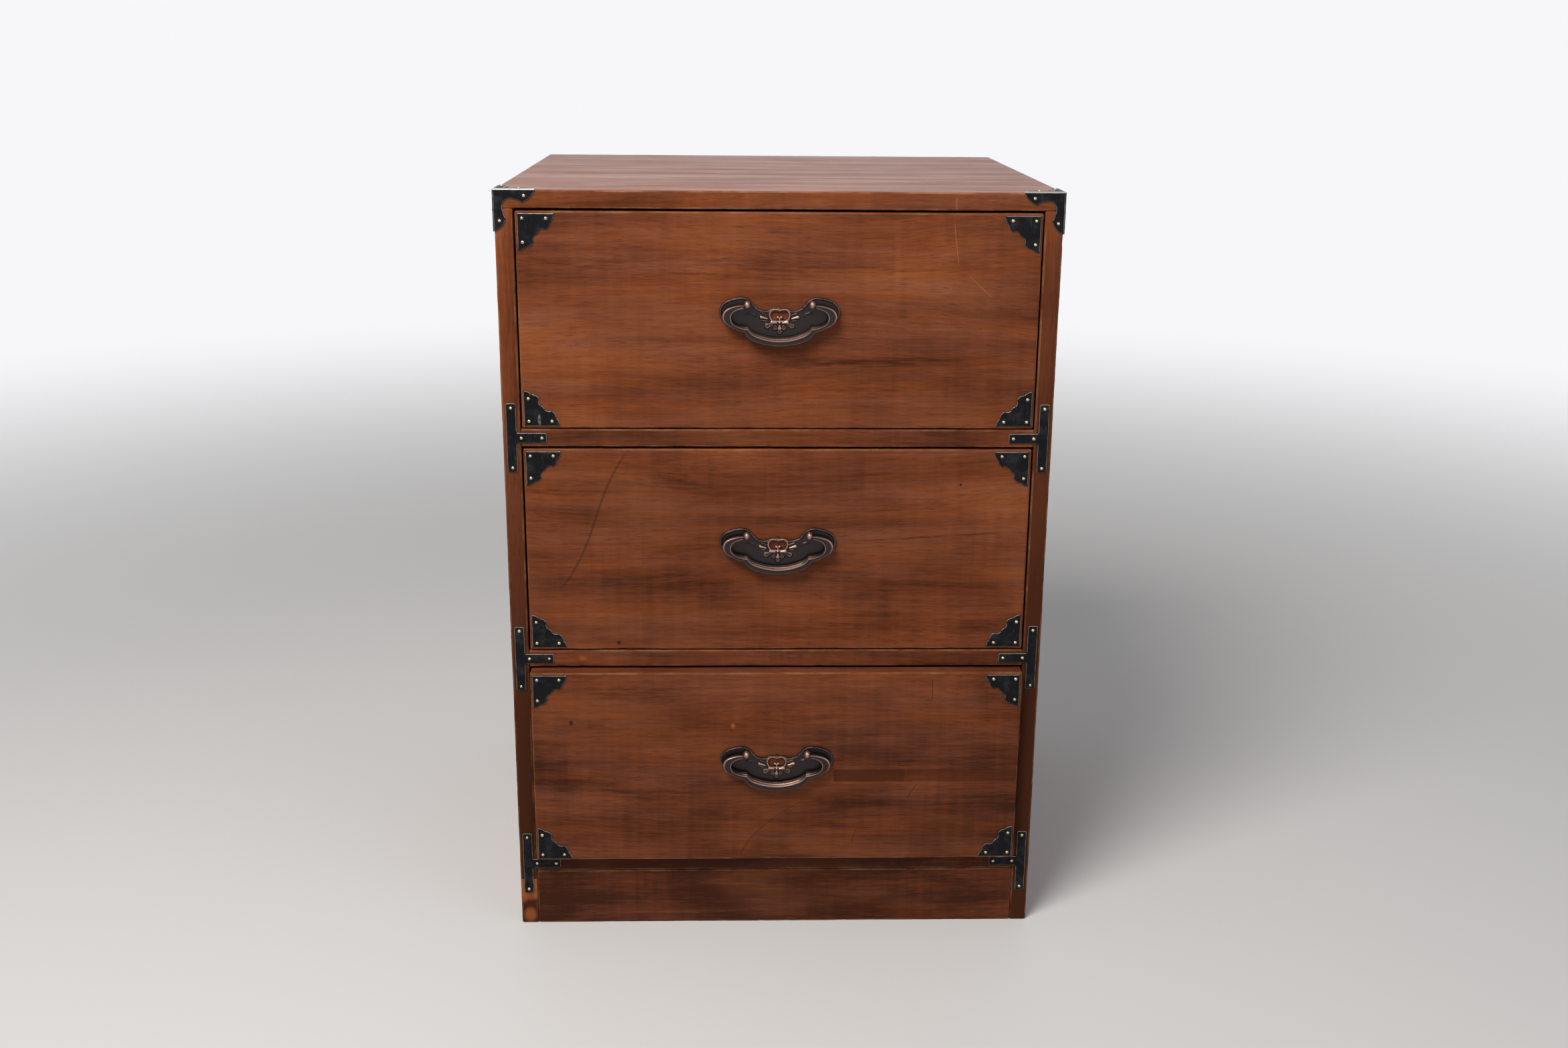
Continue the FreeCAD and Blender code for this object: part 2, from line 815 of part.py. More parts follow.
def corner_cap(name, sign):
    """A cap on a top front corner: one leaf on the front, one on the top and one on the side."""
    body = new_body(name, (half_width * sign, front_y, case_height))
    far_front = S["cap_nail_far"]
    far_top = far_front - S["cap_nail_stagger"]
    far_side = far_top - S["cap_nail_stagger"]
    cap_face(body, f"{name}_front", "XZ_Plane", -sign, -1, far_front, False)
    cap_face(body, f"{name}_top", "XY_Plane", -sign, 1, far_top, False)
    cap_face(body, f"{name}_side", "YZ_Plane", 1, -1, far_side, sign < 0)
    return body


def make_case_iron():
    for side, sign in SIDES.items():
        keep(corner_cap(f"{side}_corner_cap", sign), f"{side}_corner_cap")
        for name, rail_floor in rail_floors.items():
            middle = rail_floor + S["rail_height"] / 2
            keep(tee_plate(f"{name}_{side}_tee", sign, middle), f"{name}_{side}_tee")
    keep(case_nails, "case_nails", len(case_nail_spots))


# Drawer boxes

def drawer_frame(name):
    """The planes and levels of one drawer, worked out once for all its pieces."""
    rail, drawn = DRAWERS[name]
    bay_floor = rail_floors[rail] + S["rail_height"]
    frame = {
        "face": front_y - drawn,
        "end": front_y - drawn + drawer_depth,
        "half": side_inner - S["front_side_gap"],
        "base": bay_floor + S["front_lower_gap"],
        "head": bay_floor + S["bay_height"] - S["front_upper_gap"],
        "wall_base": bay_floor + S["running_gap"],
    }
    frame["wall_head"] = bay_floor + S["bay_height"] - S["wall_head_gap"]
    frame["inner"] = frame["half"] - S["wall_thickness"]
    frame["floor_base"] = frame["wall_base"] + S["floor_rise"]
    frame["floor_head"] = frame["floor_base"] + S["floor_thickness"]
    frame["back_of_front"] = frame["face"] + S["front_thickness"]
    frame["middle"] = (frame["base"] + frame["head"]) / 2
    frame["posts"] = frame["middle"] + S["handle_rise"]
    return frame


def corner_plate_master():
    """A stepped and lobed corner plate, alike about its diagonal, with its corner at the origin."""
    body = new_body("corner_plate_master")
    sketch = new_sketch(body, "corner_plate_outline", "XZ_Plane")
    leg = S["corner_leg"]
    tip = (leg - S["corner_tip_back"], S["corner_tip_width"])
    lobe = (leg - S["corner_lobe_back"], S["corner_lobe_width"])
    waist = (S["corner_waist_far"], S["corner_waist_near"])
    half = [(0, 0), (leg, 0), tip, lobe, waist]
    corners = half + [(along, across) for across, along in half[:0:-1]]
    outline(sketch, corners, [0, ROUND, FULL, -ROUND, FULL, -ROUND, FULL, ROUND, 0])
    hole = S["nail_shank"] / 2 + S["nail_fit"]
    near = S["corner_nail_near"]
    far = S["corner_nail_far"]
    for centre in ((near, near), (far, near), (near, far)):
        circle(sketch, centre, hole)
    pad(body, sketch, S["iron_thickness"])
    return body


# The turn about Y of the plate in each corner of a drawer front, by the signs of the corner
CORNER_TURNS = {(-1, -1): 0, (1, -1): -90, (1, 1): 180, (-1, 1): 90}


def corner_places(frame):
    """Where the four plates sit, and where their nails go."""
    plates = []
    nails = []
    near = S["corner_nail_near"]
    far = S["corner_nail_far"]
    for (sign, rise), degrees in CORNER_TURNS.items():
        across = (frame["half"] - S["corner_inset"]) * sign
        edge = frame["head"] if rise > 0 else frame["base"]
        level = edge - S["corner_inset"] * rise
        plates.append(((across, frame["face"], level), turn((0, 1, 0), degrees)))
        for inwards, along in ((near, near), (far, near), (near, far)):
            spot = (across - inwards * sign, frame["face"] - S["iron_thickness"], level - along * rise)
            nails.append((spot, "TO_BACK"))
    return plates, nails


def front_blank(name, frame):
    """The front board with its outer edges eased."""
    body = new_body(f"{name}_front_blank", (0, frame["face"], frame["base"]))
    sketch = new_sketch(body, f"{name}_front_outline", "XZ_Plane")
    half = frame["half"]
    head = frame["head"] - frame["base"]
    outline(sketch, [(-half, 0), (half, 0), (half, head), (-half, head)], [0, 0, 0, 0])
    block = pad(body, sketch, S["front_thickness"], reverse=True)
    doc.recompute()
    on_face = [
        f"Edge{number}"
        for number, edge in enumerate(block.Shape.Edges, start=1)
        if all(abs(vertex.Point.y) < 1e-6 for vertex in edge.Vertexes)
    ]
    ease = body.newObject("PartDesign::Chamfer", f"{name}_front_ease")
    ease.Base = (block, on_face)
    bind(ease, Size=S["front_edge_ease"])
    return body


def post_holes(name, frame):
    """The bores for the two handle posts, through the plate's seat and the front board."""
    bore = rod(f"{name}_post_bore", S["post_shank"] + S["post_fit"] * 2, S["front_thickness"])
    spots = [(S["post_spacing"] / 2 * sign, frame["face"], frame["posts"]) for sign in SIDES.values()]
    return group(f"{name}_post_holes", bore, [(spot, ROD_TURNS["TO_BACK"]) for spot in spots])


def make_drawer_box(name, frame, nail_holes):
    """Front, walls, back and floor, let into each other."""
    fit = S["joint_fit"]
    groove_base = frame["floor_base"] - fit
    groove_head = frame["floor_head"] + fit
    let_in = frame["back_of_front"] - S["wall_let_in"]
    floor_half = frame["inner"] + S["groove_depth"] - fit
    floor_front = frame["back_of_front"] - S["groove_depth"] + fit
    rear_half = frame["inner"] + S["rear_let_in"] - fit
    rear_front = frame["end"] - S["wall_thickness"]
    groove = board(
        f"{name}_front_groove",
        (-floor_half - fit, floor_front - fit, groove_base),
        (floor_half + fit, frame["back_of_front"], groove_head),
    )
    slots = []
    for side, sign in SIDES.items():
        slot = board(
            f"{name}_{side}_slot",
            ((frame["inner"] - fit) * sign, let_in - fit, frame["wall_base"] - fit),
            (frame["half"] * sign, frame["back_of_front"], frame["wall_head"] + fit),
        )
        slots.append(slot)
        wall = board(
            f"{name}_{side}_wall_blank",
            (frame["inner"] * sign, let_in, frame["wall_base"]),
            (frame["half"] * sign, frame["end"], frame["wall_head"]),
        )
        wall_groove = board(
            f"{name}_{side}_wall_groove",
            (frame["inner"] * sign, let_in, groove_base),
            ((floor_half + fit) * sign, frame["end"], groove_head),
        )
        housing = board(
            f"{name}_{side}_wall_housing",
            (frame["inner"] * sign, rear_front - fit, groove_head),
            ((rear_half + fit) * sign, frame["end"], frame["wall_head"]),
        )
        label = f"{name}_drawer_{side}_wall"
        keep(cut(label, wall, wall_groove, housing), label)
    front = cut(
        f"{name}_drawer_front", front_blank(name, frame), groove, *slots, post_holes(name, frame), nail_holes
    )
    keep(front, f"{name}_drawer_front")
    rear_base = frame["floor_head"] + fit
    rear = board(
        f"{name}_drawer_back",
        (-rear_half, rear_front, rear_base),
        (rear_half, frame["end"], frame["wall_head"] - S["rear_drop"]),
    )
    keep(rear, f"{name}_drawer_back")
    panel = board(
        f"{name}_drawer_floor",
        (-floor_half, floor_front, frame["floor_base"]),
        (floor_half, frame["end"], frame["floor_head"]),
    )
    keep(panel, f"{name}_drawer_floor")


# Pulls

# How far each corner of an outline moves outwards and upwards for each millimetre that the outline is
# drawn in or let out, so that a rim or a bevel keeps an even width round its lobes and cusps
PLATE_DRAWN_IN = [
    (-0.4, 0.9), (-1.1, 0.8), (-0.55, 0.85), (-1, 0), (-0.5, -0.85), (0, -1),
    (0.9, -0.6), (0.5, -1), (0.1, -1), (0, -1), (0, -1.4),
]
EYE_LET_OUT = [(0.7, -0.7), (1, 0), (0.5, 0.8), (0, 0.9)]
EYE_BOWS = [ROUND, FULL, SLIGHT]
BAIL_DRAWN_IN = [(0, 1), (-0.3, 1), (-0.5, 0.8), (-1, 0), (-0.4, -0.7), (0, -0.3)]
BAIL_HOLE_DRAWN_IN = [(0, 1), (0.2, 1), (-0.2, 0.5), (-0.3, 0), (-0.1, -0.2), (0, -0.1), (0, 0)]

# How the bail bows between its base, cusp, foot, lobe, shoulder and arm
BAIL_BOWS = [EASY, SLIGHT, ROUND, ROUND, SLIGHT]

# The way across the bail's bar at each outer corner, for each millimetre of its width there
BASE_ACROSS = (-0.4, 1)
CUSP_ACROSS = (-0.78, 0.83)
FOOT_ACROSS = (-1, 0)
LOBE_ACROSS = (-1, -0.2)
SHOULDER_ACROSS = (-1, -0.5)


def moved(corner, way, distance):
    return corner[0] + distance * way[0], corner[1] + distance * way[1]


def plate_outline(inset):
    """The plate's outline, drawn in by an inset, from its base round to its peak."""
    post = S["post_spacing"] / 2
    right = [
        (post - S["plate_base_back"], -S["plate_base_drop"]),
        (post + S["plate_cusp_reach"], -S["plate_cusp_drop"]),
        (post + S["plate_foot_reach"], -S["plate_foot_drop"]),
        (post + S["plate_lobe_reach"], -S["plate_lobe_drop"]),
        (post + S["plate_shoulder_reach"], S["plate_shoulder_rise"]),
        (post + S["plate_lobe_crown"], S["plate_lobe_rise"]),
        (post - S["plate_curl_outer"], -S["plate_curl_outer_drop"]),
        (post - S["plate_curl_inner"], -S["plate_curl_inner_drop"]),
        (S["crest_shoulder"], -S["crest_shoulder_drop"]),
        (S["crest_notch"], -S["crest_notch_drop"]),
        (as_size(0), -S["crest_peak_drop"]),
    ]
    right = [moved(corner, way, inset) for corner, way in zip(right, PLATE_DRAWN_IN)]
    bows = [SLIGHT, SLIGHT, ROUND, ROUND, SLIGHT, ROUND, FULL, -EASY, ROUND, -EASY]
    sag = S["plate_base_sag"].number / right[0][0].number
    return mirrored(right, bows, sag)


def eye_corners():
    """The right half of the bean-shaped eye under the crest, from its base to the notch at its top."""
    return [
        (S["eye_base"], -S["eye_base_drop"]),
        (S["eye_reach"], -S["eye_drop"]),
        (S["eye_shoulder"], -S["eye_shoulder_drop"]),
        (as_size(0), -S["eye_notch_drop"]),
    ]


def eye_outline(outset):
    """The eye, let out by an outset."""
    right = [moved(corner, way, outset) for corner, way in zip(eye_corners(), EYE_LET_OUT)]
    return mirrored(right, EYE_BOWS, 0)


def eye_opening():
    """The eye less the tongue that stands on its base: a neck with two beads and a cleft between them."""
    neck = S["tongue_neck"] / 2
    tongue = [
        (S["tongue_cleft"] / 2, -S["tongue_head_drop"]),
        (S["tongue_width"] / 2, -S["tongue_bead_drop"]),
        (neck, -S["tongue_neck_drop"]),
        (neck, -S["eye_base_drop"]),
    ]
    return mirrored(tongue + eye_corners(), [-FULL, -FULL, 0, 0] + EYE_BOWS, FULL)


def oval(name, spot, wide, deep, tall, rotation=UNTURNED):
    """An egg-shaped solid of those widths along X, Y and Z, turned about its middle."""
    egg = bind(doc.addObject("Part::Ellipsoid", name), Radius1=tall / 2, Radius2=wide / 2, Radius3=deep / 2)
    egg.Angle1 = -90
    egg.Angle2 = 90
    egg.Angle3 = 360
    return place(egg, spot, rotation)


def plate_ornament(name, frame):
    """A fan of three petals under the eye and a leaf on each side, half sunk in the plate."""
    seat = frame["face"] - S["plate_thickness"]
    swell = S["petal_height"] * 2
    petal_out = S["petal_near"] + S["petal_length"] / 2
    pieces = []
    for number in (-1, 0, 1):
        degrees = S["petal_fan"].number * number
        swing = math.radians(degrees)
        level = frame["posts"] - S["petal_hub_drop"] - petal_out * math.cos(swing)
        spot = (petal_out * math.sin(swing), seat, level)
        upright = turn((0, 1, 0), -degrees)
        petal = f"{name}_petal{number + 2}"
        pieces.append(oval(petal, spot, S["petal_width"], swell, S["petal_length"], upright))
    for side, sign in SIDES.items():
        spot = (S["leaf_reach"] * sign, seat, frame["posts"] - S["leaf_drop"])
        pieces.append(oval(f"{name}_{side}_leaf", spot, S["leaf_length"], swell, S["leaf_width"]))
    return pieces


def handle_plate(name, frame):
    """A plate with a raised rim, a pierced eye in its own ring and a fan of petals below it."""
    body = new_body(f"{name}_plate_body", (0, frame["face"], frame["posts"]))
    base = new_sketch(body, f"{name}_plate_outline", "XZ_Plane")
    outline(base, *plate_outline(as_size(0)))
    pad(body, base, S["plate_thickness"])
    rim = new_sketch(body, f"{name}_plate_rim", "XZ_Plane")
    outline(rim, *plate_outline(as_size(0)))
    outline(rim, *plate_outline(S["plate_rim_width"]))
    pad(body, rim, S["plate_thickness"] + S["plate_rim_height"])
    ring = new_sketch(body, f"{name}_eye_ring", "XZ_Plane")
    outline(ring, *eye_outline(as_size(0)))
    outline(ring, *eye_outline(S["eye_rim_width"]))
    pad(body, ring, S["plate_thickness"] + S["eye_rim_height"])
    openings = new_sketch(body, f"{name}_plate_openings", "XZ_Plane")
    outline(openings, *eye_opening())
    seats = new_sketch(body, f"{name}_post_seats", "XZ_Plane", S["plate_thickness"])
    for sign in SIDES.values():
        post = (S["post_spacing"] / 2 * sign, 0)
        circle(openings, post, S["post_shank"] / 2 + S["post_fit"])
        circle(seats, post, S["post_neck"] / 2 + S["post_fit"])
    pocket_through(body, openings)
    pocket_through(body, seats)
    return fused(f"{name}_handle_plate", [body] + plate_ornament(name, frame))


def handle_post(name, frame, sign):
    """A shouldered post with a bead for its head, bored from its outer side for the bail's pin."""
    across = S["post_spacing"] / 2 * sign
    face = frame["face"]
    level = frame["posts"]
    bead_y = face - S["bead_standoff"]
    shoulder_y = face - S["plate_thickness"]
    tail_y = frame["back_of_front"] + S["post_tail"]
    bead_spot = (across, bead_y, level)
    seam_outwards = UNTURNED if sign > 0 else TO_FRONT
    bead = oval(f"{name}_bead", bead_spot, S["bead_width"], S["bead_depth"], S["bead_height"], seam_outwards)
    neck = rod(f"{name}_neck", S["post_neck"], shoulder_y - bead_y)
    place(neck, bead_spot, ROD_TURNS["TO_BACK"])
    shank = rod(f"{name}_shank", S["post_shank"], tail_y - bead_y)
    place(shank, bead_spot, ROD_TURNS["TO_BACK"])
    blank = fused(f"{name}_blank", [bead, neck, shank])
    bore = rod(f"{name}_bore", S["pin_diameter"] + S["pin_fit"] * 2, S["bead_width"])
    bore_start = (S["post_spacing"] / 2 + S["bead_width"] / 2 - S["pin_depth"] - S["pin_end_room"]) * sign
    bore_way = "TO_RIGHT" if sign > 0 else "TO_LEFT"
    place(bore, (bore_start, bead_y, level - S["pivot_drop"]), ROD_TURNS[bore_way])
    return cut(name, blank, bore)


def handle_nut(name, frame, sign):
    """A hexagon nut on the post's tail, against the inside of the drawer front."""
    nut = bind(
        doc.addObject("Part::Prism", f"{name}_blank"),
        Circumradius=S["nut_across"] / math.sqrt(3), Height=S["nut_thickness"],
    )
    spot = (S["post_spacing"] / 2 * sign, frame["back_of_front"], frame["posts"])
    place(nut, spot, ROD_TURNS["TO_BACK"])
    bore = rod(f"{name}_bore", S["post_shank"] + S["thread_fit"] * 2, S["nut_thickness"])
    place(bore, spot, ROD_TURNS["TO_BACK"])
    return cut(name, nut, bore)


def bail_corners():
    """The outer corners of the bail's right half, from its base up to its shoulder, seen from its pivot."""
    post = S["post_spacing"] / 2
    drop = S["pivot_drop"]
    return [
        (post - S["bail_base_back"], drop - S["bail_base_drop"]),
        (post + S["bail_cusp_reach"], drop - S["bail_cusp_drop"]),
        (post + S["bail_foot_reach"], drop - S["bail_foot_drop"]),
        (post + S["bail_lobe_reach"], drop - S["bail_lobe_drop"]),
        (post + S["bail_shoulder_reach"], drop - S["bail_shoulder_drop"]),
    ]


def bail_outer(inset):
    """The outside of the bail, drawn in by an inset, from its base round to the top of its arms."""
    post = S["post_spacing"] / 2
    right = bail_corners() + [(post + S["bead_width"] / 2, S["bail_arm_width"] / 2)]
    right = [moved(corner, way, inset) for corner, way in zip(right, BAIL_DRAWN_IN)]
    sag = S["bail_base_sag"].number / right[0][0].number
    return mirrored(right, BAIL_BOWS, sag, top_bow=0)


def bail_inner(bevel):
    """The space inside the bail, made smaller by a bevel, and the open way between its two ends."""
    end = (S["post_spacing"] + S["bead_width"]) / 2 + S["bail_end_gap"]
    base, cusp, foot, lobe, shoulder = bail_corners()
    right = [
        moved(base, BASE_ACROSS, S["bail_bar_width"]),
        moved(cusp, CUSP_ACROSS, S["bail_cusp_width"]),
        moved(foot, FOOT_ACROSS, S["bail_foot_width"]),
        moved(lobe, LOBE_ACROSS, S["bail_lobe_width"]),
        moved(shoulder, SHOULDER_ACROSS, S["bail_shoulder_width"]),
        (end, -S["bail_arm_width"] / 2),
        (end, S["bail_arm_width"]),
    ]
    right = [moved(corner, way, bevel) for corner, way in zip(right, BAIL_HOLE_DRAWN_IN)]
    sag = S["bail_base_sag"].number / right[0][0].number
    return mirrored(right, BAIL_BOWS + [0], sag, top_bow=0)


def bail_loft(body, name, kind, back_outline, front_outline):
    """A ruled solid between an outline on the bail's back and one on its front."""
    back = new_sketch(body, f"{name}_back", "XZ_Plane", -S["bail_thickness"] / 2)
    outline(back, *back_outline)
    front = new_sketch(body, f"{name}_front", "XZ_Plane", S["bail_thickness"] / 2)
    outline(front, *front_outline)
    loft = body.newObject(kind, f"{name}_loft")
    loft.Profile = back
    loft.Sections = [front]
    loft.Ruled = True


def bail(name, frame):
    """Two lobes and a bowed grip with bevelled faces, ending in pins that enter the beads."""
    body = new_body(
        f"{name}_bail", (0, frame["face"] - S["bead_standoff"], frame["posts"] - S["pivot_drop"])
    )
    bail_loft(
        body, f"{name}_bail_outside", "PartDesign::AdditiveLoft",
        bail_outer(as_size(0)), bail_outer(S["bail_outer_bevel"]),
    )
    bail_loft(
        body, f"{name}_bail_inside", "PartDesign::SubtractiveLoft",
        bail_inner(S["bail_inner_bevel"]), bail_inner(as_size(0)),
    )
    bead_edge = (S["post_spacing"] + S["bead_width"]) / 2
    pin_length = S["pin_depth"] + S["bail_end_gap"] + S["pin_root"]
    plane = next(feature for feature in body.Origin.OriginFeatures if feature.Role == "YZ_Plane")
    for sign in (-1, 1):
        pin = body.newObject("PartDesign::AdditiveCylinder", f"{name}_pin{sign + 2}")
        pin.AttachmentSupport = (plane, [""])
        pin.MapMode = "FlatFace"
        tip = (bead_edge - S["pin_depth"]) * sign
        start = tip if sign > 0 else tip - pin_length
        bind(pin, Radius=S["pin_diameter"] / 2, Height=pin_length)
        bind(pin, **{"AttachmentOffset.Base.z": start})
    return body


def make_drawers():
    """The three drawers, each with its box, its ironwork and its pull."""
    corner_plate = corner_plate_master()
    for name in DRAWERS:
        frame = drawer_frame(name)
        plate_places, nail_spots = corner_places(frame)
        nails, nail_holes = nails_and_holes(f"{name}_drawer_nails", nail_spots)
        make_drawer_box(name, frame, nail_holes)
        plates = group(f"{name}_corner_plates", corner_plate, plate_places)
        keep(plates, f"{name}_corner_plates", len(plate_places))
        keep(nails, f"{name}_corner_nails", len(nail_spots))
        keep(handle_plate(name, frame), f"{name}_handle_plate")
        posts = [handle_post(f"{name}_{side}_post", frame, sign) for side, sign in SIDES.items()]
        keep(gathered(f"{name}_handle_posts", posts), f"{name}_handle_posts", len(posts))
        nuts = [handle_nut(f"{name}_{side}_nut", frame, sign) for side, sign in SIDES.items()]
        keep(gathered(f"{name}_handle_nuts", nuts), f"{name}_handle_nuts", len(nuts))
        keep(bail(name, frame), f"{name}_bail")


def check_and_export():
    """Refuse a failed feature or an unsound solid, then write each sub-part."""
    failed = [thing.Name for thing in doc.Objects if {"Invalid", "Error"} & set(thing.State)]
    if failed:
        raise RuntimeError(f"features that failed: {failed}")
    for thing, solids in parts:
        shape = thing.Shape
        if shape.isNull() or not shape.isValid() or len(shape.Solids) != solids:
            raise RuntimeError(f"{thing.Label} is not sound: it should have {solids} solids")
    os.makedirs("parts", exist_ok=True)
    for thing, solids in parts:
        thing.Shape.exportStep(os.path.join("parts", f"{thing.Label}.step"))


make_case()
make_runners()
make_case_iron()
make_drawers()
doc.recompute()
check_and_export()
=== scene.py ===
"""Dresses the packed three-drawer chest in worn boards, black iron, brass nails and cast pulls.

Everything is in metres in the chest's own frame, with +Z up and the drawers opening along -Y.
"""

import math
from functools import cache

import bmesh
import bpy
import numpy as np
from bpy.props import FloatProperty, FloatVectorProperty, PointerProperty
from mathutils import Matrix, Vector


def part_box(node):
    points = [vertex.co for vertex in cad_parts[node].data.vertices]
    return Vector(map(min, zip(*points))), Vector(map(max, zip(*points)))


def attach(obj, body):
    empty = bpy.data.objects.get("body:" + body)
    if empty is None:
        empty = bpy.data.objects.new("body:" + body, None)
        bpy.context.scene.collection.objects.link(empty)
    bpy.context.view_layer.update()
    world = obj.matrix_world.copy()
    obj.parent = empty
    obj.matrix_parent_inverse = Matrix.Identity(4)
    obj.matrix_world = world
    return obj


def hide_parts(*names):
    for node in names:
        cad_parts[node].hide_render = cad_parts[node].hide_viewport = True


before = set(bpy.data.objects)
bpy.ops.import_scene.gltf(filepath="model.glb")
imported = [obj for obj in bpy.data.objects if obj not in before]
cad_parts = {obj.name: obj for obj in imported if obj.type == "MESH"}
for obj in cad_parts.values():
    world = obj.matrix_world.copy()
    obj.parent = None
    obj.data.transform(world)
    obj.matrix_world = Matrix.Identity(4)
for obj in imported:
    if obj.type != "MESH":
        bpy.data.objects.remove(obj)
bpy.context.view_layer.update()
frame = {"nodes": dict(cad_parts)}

bl_info = {
    "name": "Three-drawer Chest",
    "version": (1, 0, 0),
    "blender": (4, 5, 0),
    "location": "View3D > Sidebar > Chest",
    "description": "Boards, ironwork, pulls and stage of a small three-drawer chest",
    "category": "Object",
}

MM = 0.001
DRAWERS = ("upper", "middle", "lower")
RAILS = ("upper", "lower", "bottom")
SIDES = {"left": -1, "right": 1}
AXES = {"X": 0, "Y": 1, "Z": 2}
RIGHT = np.array((1, 0, 0))
UP = np.array((0, 0, 1))
OUT = np.array((0, -1, 0))
FRONT_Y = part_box("top_panel")[0].y
CASE_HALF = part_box("top_panel")[1].x
CASE_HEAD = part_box("top_panel")[1].z
# The first seed of each family of boards and nails
SEEDS = {"case_boards": 1, "drawer_fronts": 21, "inner_boards": 60, "corner_nails": 81, "case_nails": 91}


# Settings that a user would change

def length(name, description, default):
    """A setting in metres."""
    return FloatProperty(
        name=name, description=description, default=default, min=0.0, unit="LENGTH", precision=5
    )


def amount(name, description, default, unit="NONE", least=0.0):
    """A setting of the lamps or of the camera."""
    return FloatProperty(name=name, description=description, default=default, min=least, unit=unit)


def colour(name, description, default):
    """A setting of linear red, green and blue."""
    return FloatVectorProperty(
        name=name, description=description, default=default, min=0.0, max=1.0, subtype="COLOR"
    )


class ChestWood(bpy.types.PropertyGroup):
    """Boards of the case and of the drawers."""

    ease: length("Edge easing", "Radius of the boards' eased edges", 1.5 * MM)
    dent: length("Edge dents", "Depth of the dents along the eased edges", 0.35 * MM)
    reveal: length("Back reveal", "How far the sides and the top stop short of the back's face", 0.3 * MM)
    dark: colour("Dark grain", "Stain in the darkest streaks", (0.0515, 0.0143, 0.0057))
    middle: colour("Stain", "Stain over most of the boards", (0.1835, 0.048, 0.0162))
    light: colour("Light grain", "Stain in the palest streaks", (0.299, 0.0908, 0.0288))
    pore: colour("Pores", "Open pores and scratches", (0.030, 0.012, 0.008))
    worn: colour("Worn edge", "Wood where the stain has rubbed off", (0.42, 0.21, 0.105))
    bare: colour("Bare wood", "Unstained boards inside the drawers", (0.50, 0.33, 0.185))
    bare_dark: colour("Bare wood grain", "Darker grain of the unstained boards", (0.30, 0.175, 0.085))


class ChestIron(bpy.types.PropertyGroup):
    """Iron plates and their nails."""

    roll: length("Edge roll", "Radius of the plates' rolled edges", 0.35 * MM)
    black: colour("Black", "Blackened iron", (0.005, 0.005, 0.0065))
    grey: colour("Grey", "Thin patches of the blacking", (0.023, 0.0225, 0.026))
    bright: colour("Bright edge", "Iron where the blacking has worn off", (0.50, 0.47, 0.43))
    brass: colour("Brass", "Nail heads", (0.49, 0.41, 0.26))
    tarnish: colour("Tarnish", "Nail heads round their rims", (0.15, 0.105, 0.05))
    steel: colour("Steel", "Screws and nuts", (0.52, 0.52, 0.53))


class ChestPull(bpy.types.PropertyGroup):
    """Cast pulls."""

    plate: length("Plate thickness", "Thickness of the pull's plate", 1.6 * MM)
    rim: length("Rim height", "Height of the rim over the plate", 1.0 * MM)
    rim_width: length("Rim width", "Width of the rim", 2.2 * MM)
    bronze: colour("Bronze", "Dark finish in the hollows", (0.035, 0.0275, 0.0275))
    copper: colour("Copper", "Metal where the dark finish has rubbed off", (0.36, 0.215, 0.17))


class ChestStage(bpy.types.PropertyGroup):
    """Floor, light and camera."""

    floor: colour("Floor", "Plain pale floor", (0.78, 0.77, 0.76))
    backdrop: colour("Backdrop", "Pale surroundings", (0.93, 0.93, 0.95))
    ambient: amount("Ambient", "Strength of the even light", 0.25)
    key: amount("Key lamp", "Power of the main lamp", 51.0, "POWER")
    fill: amount("Fill lamp", "Power of the fill lamp", 9.0, "POWER")
    lens: amount("Lens", "Focal length", 37.868, "CAMERA", least=1.0)


# Surfaces

JOIN_DISTANCE = 1e-7
SLIVER_LENGTH = 1e-8
CREASE_DEGREES = 38.0


def full_turn(sides):
    """Even angles round a circle."""
    return np.linspace(0, 2 * math.pi, sides, endpoint=False)


def grid_quads(rows, columns, closed=False):
    """Quads between neighbouring points of a grid; closed joins the last column to the first."""
    row = np.arange(rows - 1)[:, None] * columns
    column = np.arange(columns if closed else columns - 1)[None, :]
    after = (column + 1) % columns
    corners = np.broadcast_arrays(row + column, row + after, row + columns + after, row + columns + column)
    return np.stack(corners, axis=-1).reshape(-1, 4)


